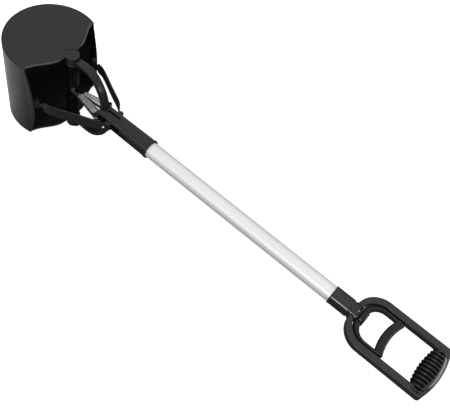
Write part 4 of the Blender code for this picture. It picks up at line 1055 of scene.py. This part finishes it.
handle_plastic = moulded_plastic("handle_gloss_black", (0.016, 0.016, 0.017),
                                 (0.045, 0.045, 0.047), 0.46, (0.10, 0.15), 2000.0, 0.000004, 0.05)
inside_front = HANDLE_FRONT_X + ARCH_WALL
inside_half = HANDLE_HALF_WIDTH - RAIL_WIDTH
outer_edge = frame_edge(HANDLE_FRONT_X, HANDLE_HALF_WIDTH, ARCH_RADIUS, HANDLE_END_X, END_BOW,
                        END_CORNER_RADIUS)
inner_edge = frame_edge(inside_front, inside_half, ARCH_INNER_RADIUS, END_BAR_X, 0.0,
                        BAR_CORNER_RADIUS)
for label, sign in (("upper", 1), ("lower", -1)):
    handle_shells = [half_ring(outer_edge, inner_edge, HANDLE_HALF_THICK, HANDLE_ROUNDING, sign),
                     half_collar(sign), half_flange(sign)]
    closed_piece(f"handle_{label}_shell", handle_shells, handle_plastic, "frame",
                 f"handle_{label}", slot="black_gloss_plastic")


# Trigger: a satin black loop that slides inside the D. Its bowed bar is what the fingers pull,
# and a tongue on each side runs in the rails' grooves.
TRIGGER_HALF_THICK = 0.005
TRIGGER_ROUNDING = 0.0040
TRIGGER_SIDE = 0.005
TRIGGER_ARCH = 0.011
TRIGGER_INNER_RADIUS = 0.0195
TRIGGER_BAR_X = 0.598
TRIGGER_BAR_WIDTH = 0.0132
TRIGGER_BAR_BOW = 0.0045
TRIGGER_OUTER_CORNER = 0.0045
TRIGGER_INNER_CORNER = 0.002
TRIGGER_FIT = 0.0005
TRIGGER_SHADOW = 0.0016
HUB_RADIUS = 0.0124
HUB_LENGTH = 0.014
HUB_ROUNDING = 0.0036
HUB_EDGE = 0.0006
HUB_GROOVE_PLACE = 0.0046
HUB_GROOVE_DEPTH = 0.0024
HUB_GROOVE_SPREAD = 0.0009
NUT_SEAT_RADIUS = 0.0058
TONGUE_SIZE = (0.024, 0.0053, 0.0008)
TONGUE_X = 0.5915
TONGUE_FIT = 0.0004
TONGUE_HALF_THICK = 0.0015
TONGUE_ROUNDING = 0.0003


def trigger_edge(front, half, radius, corner, corner_offset, bar_offset, bar_half):
    """One edge of the trigger's loop: arch, side, corner and a bar that bows with y squared."""
    side_y = inside_half - TRIGGER_SHADOW - TRIGGER_SIDE

    def bar(y, offset):
        return TRIGGER_BAR_X + TRIGGER_BAR_BOW * (y / side_y) ** 2 + offset

    corner_x = bar(half, corner_offset)
    y = bar_half * np.linspace(1, 0, 16)
    return both_sides(np.concatenate([
        arch(front, half, radius, 22),
        line_between((front + radius, half), (corner_x, half), 6)[1:],
        arc((corner_x, half - corner), corner, np.radians(np.linspace(84, 12, 5))),
        np.stack([bar(y, bar_offset), y], -1)]))


def full_ring(outer, inner, half_thick, rounding):
    """A flat ring between two edges, both faces, with all four edges rounded."""
    upper = half_ring(outer, inner, half_thick, rounding, 1, split=0.0)[0]
    lower = half_ring(outer, inner, half_thick, rounding, -1, split=0.0)[0]
    return np.concatenate([upper, lower[:, -2:0:-1]], 1), True


def grooved_hub(front):
    """Round hub about the tube's axis: the closed section (radius, x) turned all the way.

    One groove runs round it, its far edge is well rounded and its end face is sunk for the nut.
    """
    end = front + HUB_LENGTH
    r = HUB_ROUNDING
    e = HUB_EDGE
    x = np.linspace(front + e, end - r, 40)
    groove = np.exp(-((x - front - HUB_GROOVE_PLACE) / HUB_GROOVE_SPREAD) ** 2)
    t = np.linspace(0, np.pi / 2, 9)
    section = np.concatenate([
        [(NUT_SEAT_RADIUS, front), (HUB_RADIUS - e, front)],
        np.stack([HUB_RADIUS - HUB_GROOVE_DEPTH * groove, x], -1),
        np.stack([HUB_RADIUS - r * (1 - np.cos(t)), end - r * (1 - np.sin(t))], -1),
        [(NUT_SEAT_RADIUS + e, end), (NUT_SEAT_RADIUS, end - e)]])
    return turned(section, circle(72)), True


trigger_plastic = moulded_plastic("trigger_satin_black", (0.012, 0.012, 0.013),
                                  (0.042, 0.042, 0.044), 0.24, (0.20, 0.28), 2200.0, 0.00001, 0.06)
front = inside_front + TRIGGER_SHADOW
half = inside_half - TRIGGER_SHADOW
side_y = half - TRIGGER_SIDE
bar_half_width = TRIGGER_BAR_WIDTH / 2
outer_edge = trigger_edge(front, half, ARCH_INNER_RADIUS - TRIGGER_SHADOW, TRIGGER_OUTER_CORNER,
                          0.001, bar_half_width, side_y)
inner_edge = trigger_edge(front + TRIGGER_ARCH, side_y, TRIGGER_INNER_RADIUS, TRIGGER_INNER_CORNER,
                          -bar_half_width - TRIGGER_INNER_CORNER, -bar_half_width,
                          side_y - TRIGGER_INNER_CORNER)
trigger_shells = [full_ring(outer_edge, inner_edge, TRIGGER_HALF_THICK, TRIGGER_ROUNDING),
                  grooved_hub(inside_front + TRIGGER_FIT)]
for side in (-1, 1):
    tongue = rounded_rectangle(*TONGUE_SIZE) + (TONGUE_X, side * (inside_half - TONGUE_FIT))
    trigger_shells.append(plate(tongue, -TONGUE_HALF_THICK, TONGUE_HALF_THICK, TONGUE_ROUNDING))
closed_piece("trigger_loop", trigger_shells, trigger_plastic, "trigger_train", "trigger",
             slot="black_satin_plastic")


# Grip: a soft black rubber barrel on the D's end bar, turned with eleven ribs that the palm
# closes on. A coat on the ribs' crests is painted sheen, and its lack in the valleys painted shade.
GRIP_AXIS_X = 0.6684
GRIP_HALF_DEPTH = 0.0156
GRIP_HALF_HEIGHT = 0.0125
GRIP_END_SHARE = 0.66
GRIP_LEFT_Y = -0.0425
GRIP_RIGHT_Y = 0.0350
GRIP_RIBS = 11
GRIP_SMOOTH_END = 0.0055
GRIP_RIB_HEIGHT = 0.0030
GRIP_EDGE = 0.002
CREST_SHEEN_RAMP = (0.45, -0.9)
CREST_SHEEN_WEIGHT = 0.85
RIBBED_LENGTH = GRIP_RIGHT_Y - GRIP_SMOOTH_END - GRIP_LEFT_Y


def barrel():
    """Ribbed barrel about Y: an ellipse (depth, height) times a crown, less the ribs' valleys.

    The crown falls with the square of the distance from the barrel's middle. A rib is a raised
    cosine, and the last stretch at the right rail is left smooth.
    """
    middle = (GRIP_LEFT_Y + GRIP_RIGHT_Y) / 2
    half = (GRIP_RIGHT_Y - GRIP_LEFT_Y) / 2
    y = np.linspace(GRIP_LEFT_Y, GRIP_RIGHT_Y, GRIP_RIBS * 16 + 1)
    crown = GRIP_END_SHARE + (1 - GRIP_END_SHARE) * (1 - ((y - middle) / half) ** 2)
    ribbed = np.minimum((y - GRIP_LEFT_Y) / RIBBED_LENGTH, 1 + 0.5 / GRIP_RIBS)
    rib = 0.5 - 0.5 * np.cos(ribbed * GRIP_RIBS * 2 * np.pi)
    edge = np.clip((half - np.abs(y - middle)) / GRIP_EDGE, 0, 1)
    dip = GRIP_RIB_HEIGHT * (1 - rib) + GRIP_EDGE * (1 - np.sqrt(1 - (1 - edge) ** 2))
    a = circle(72)
    x = GRIP_AXIS_X + (GRIP_HALF_DEPTH * crown - dip)[:, None] * np.cos(a)
    z = (GRIP_HALF_HEIGHT * crown - dip)[:, None] * np.sin(a)
    return grid_of(x, y[:, None], z), False


grip_rubber = moulded_plastic("grip_soft_rubber", (0.005, 0.005, 0.005), (0.025, 0.025, 0.026),
                              0.04, (0.40, 0.50), 1500.0, 0.00002, 0.04)
tree = grip_rubber.node_tree
# Painted sheen on the rib crests and painted shade in the valleys: a coat that follows the ribs'
# cosine along Y.
per_metre = 2 * np.pi * GRIP_RIBS / RIBBED_LENGTH
phase = maths(tree, "MULTIPLY_ADD", axis_of(tree, place_of(tree), "Y"), per_metre,
              -per_metre * GRIP_LEFT_Y)
painted_crest_sheen = map_range(tree, maths(tree, "COSINE", phase), CREST_SHEEN_RAMP, (0.0, CREST_SHEEN_WEIGHT))
fill_inputs(tree, tree.nodes["Principled BSDF"], {"Coat Roughness": 0.28, "Coat Weight": painted_crest_sheen})
closed_piece("ribbed_grip", [barrel()], grip_rubber, "frame", "grip", slot="black_rubber")
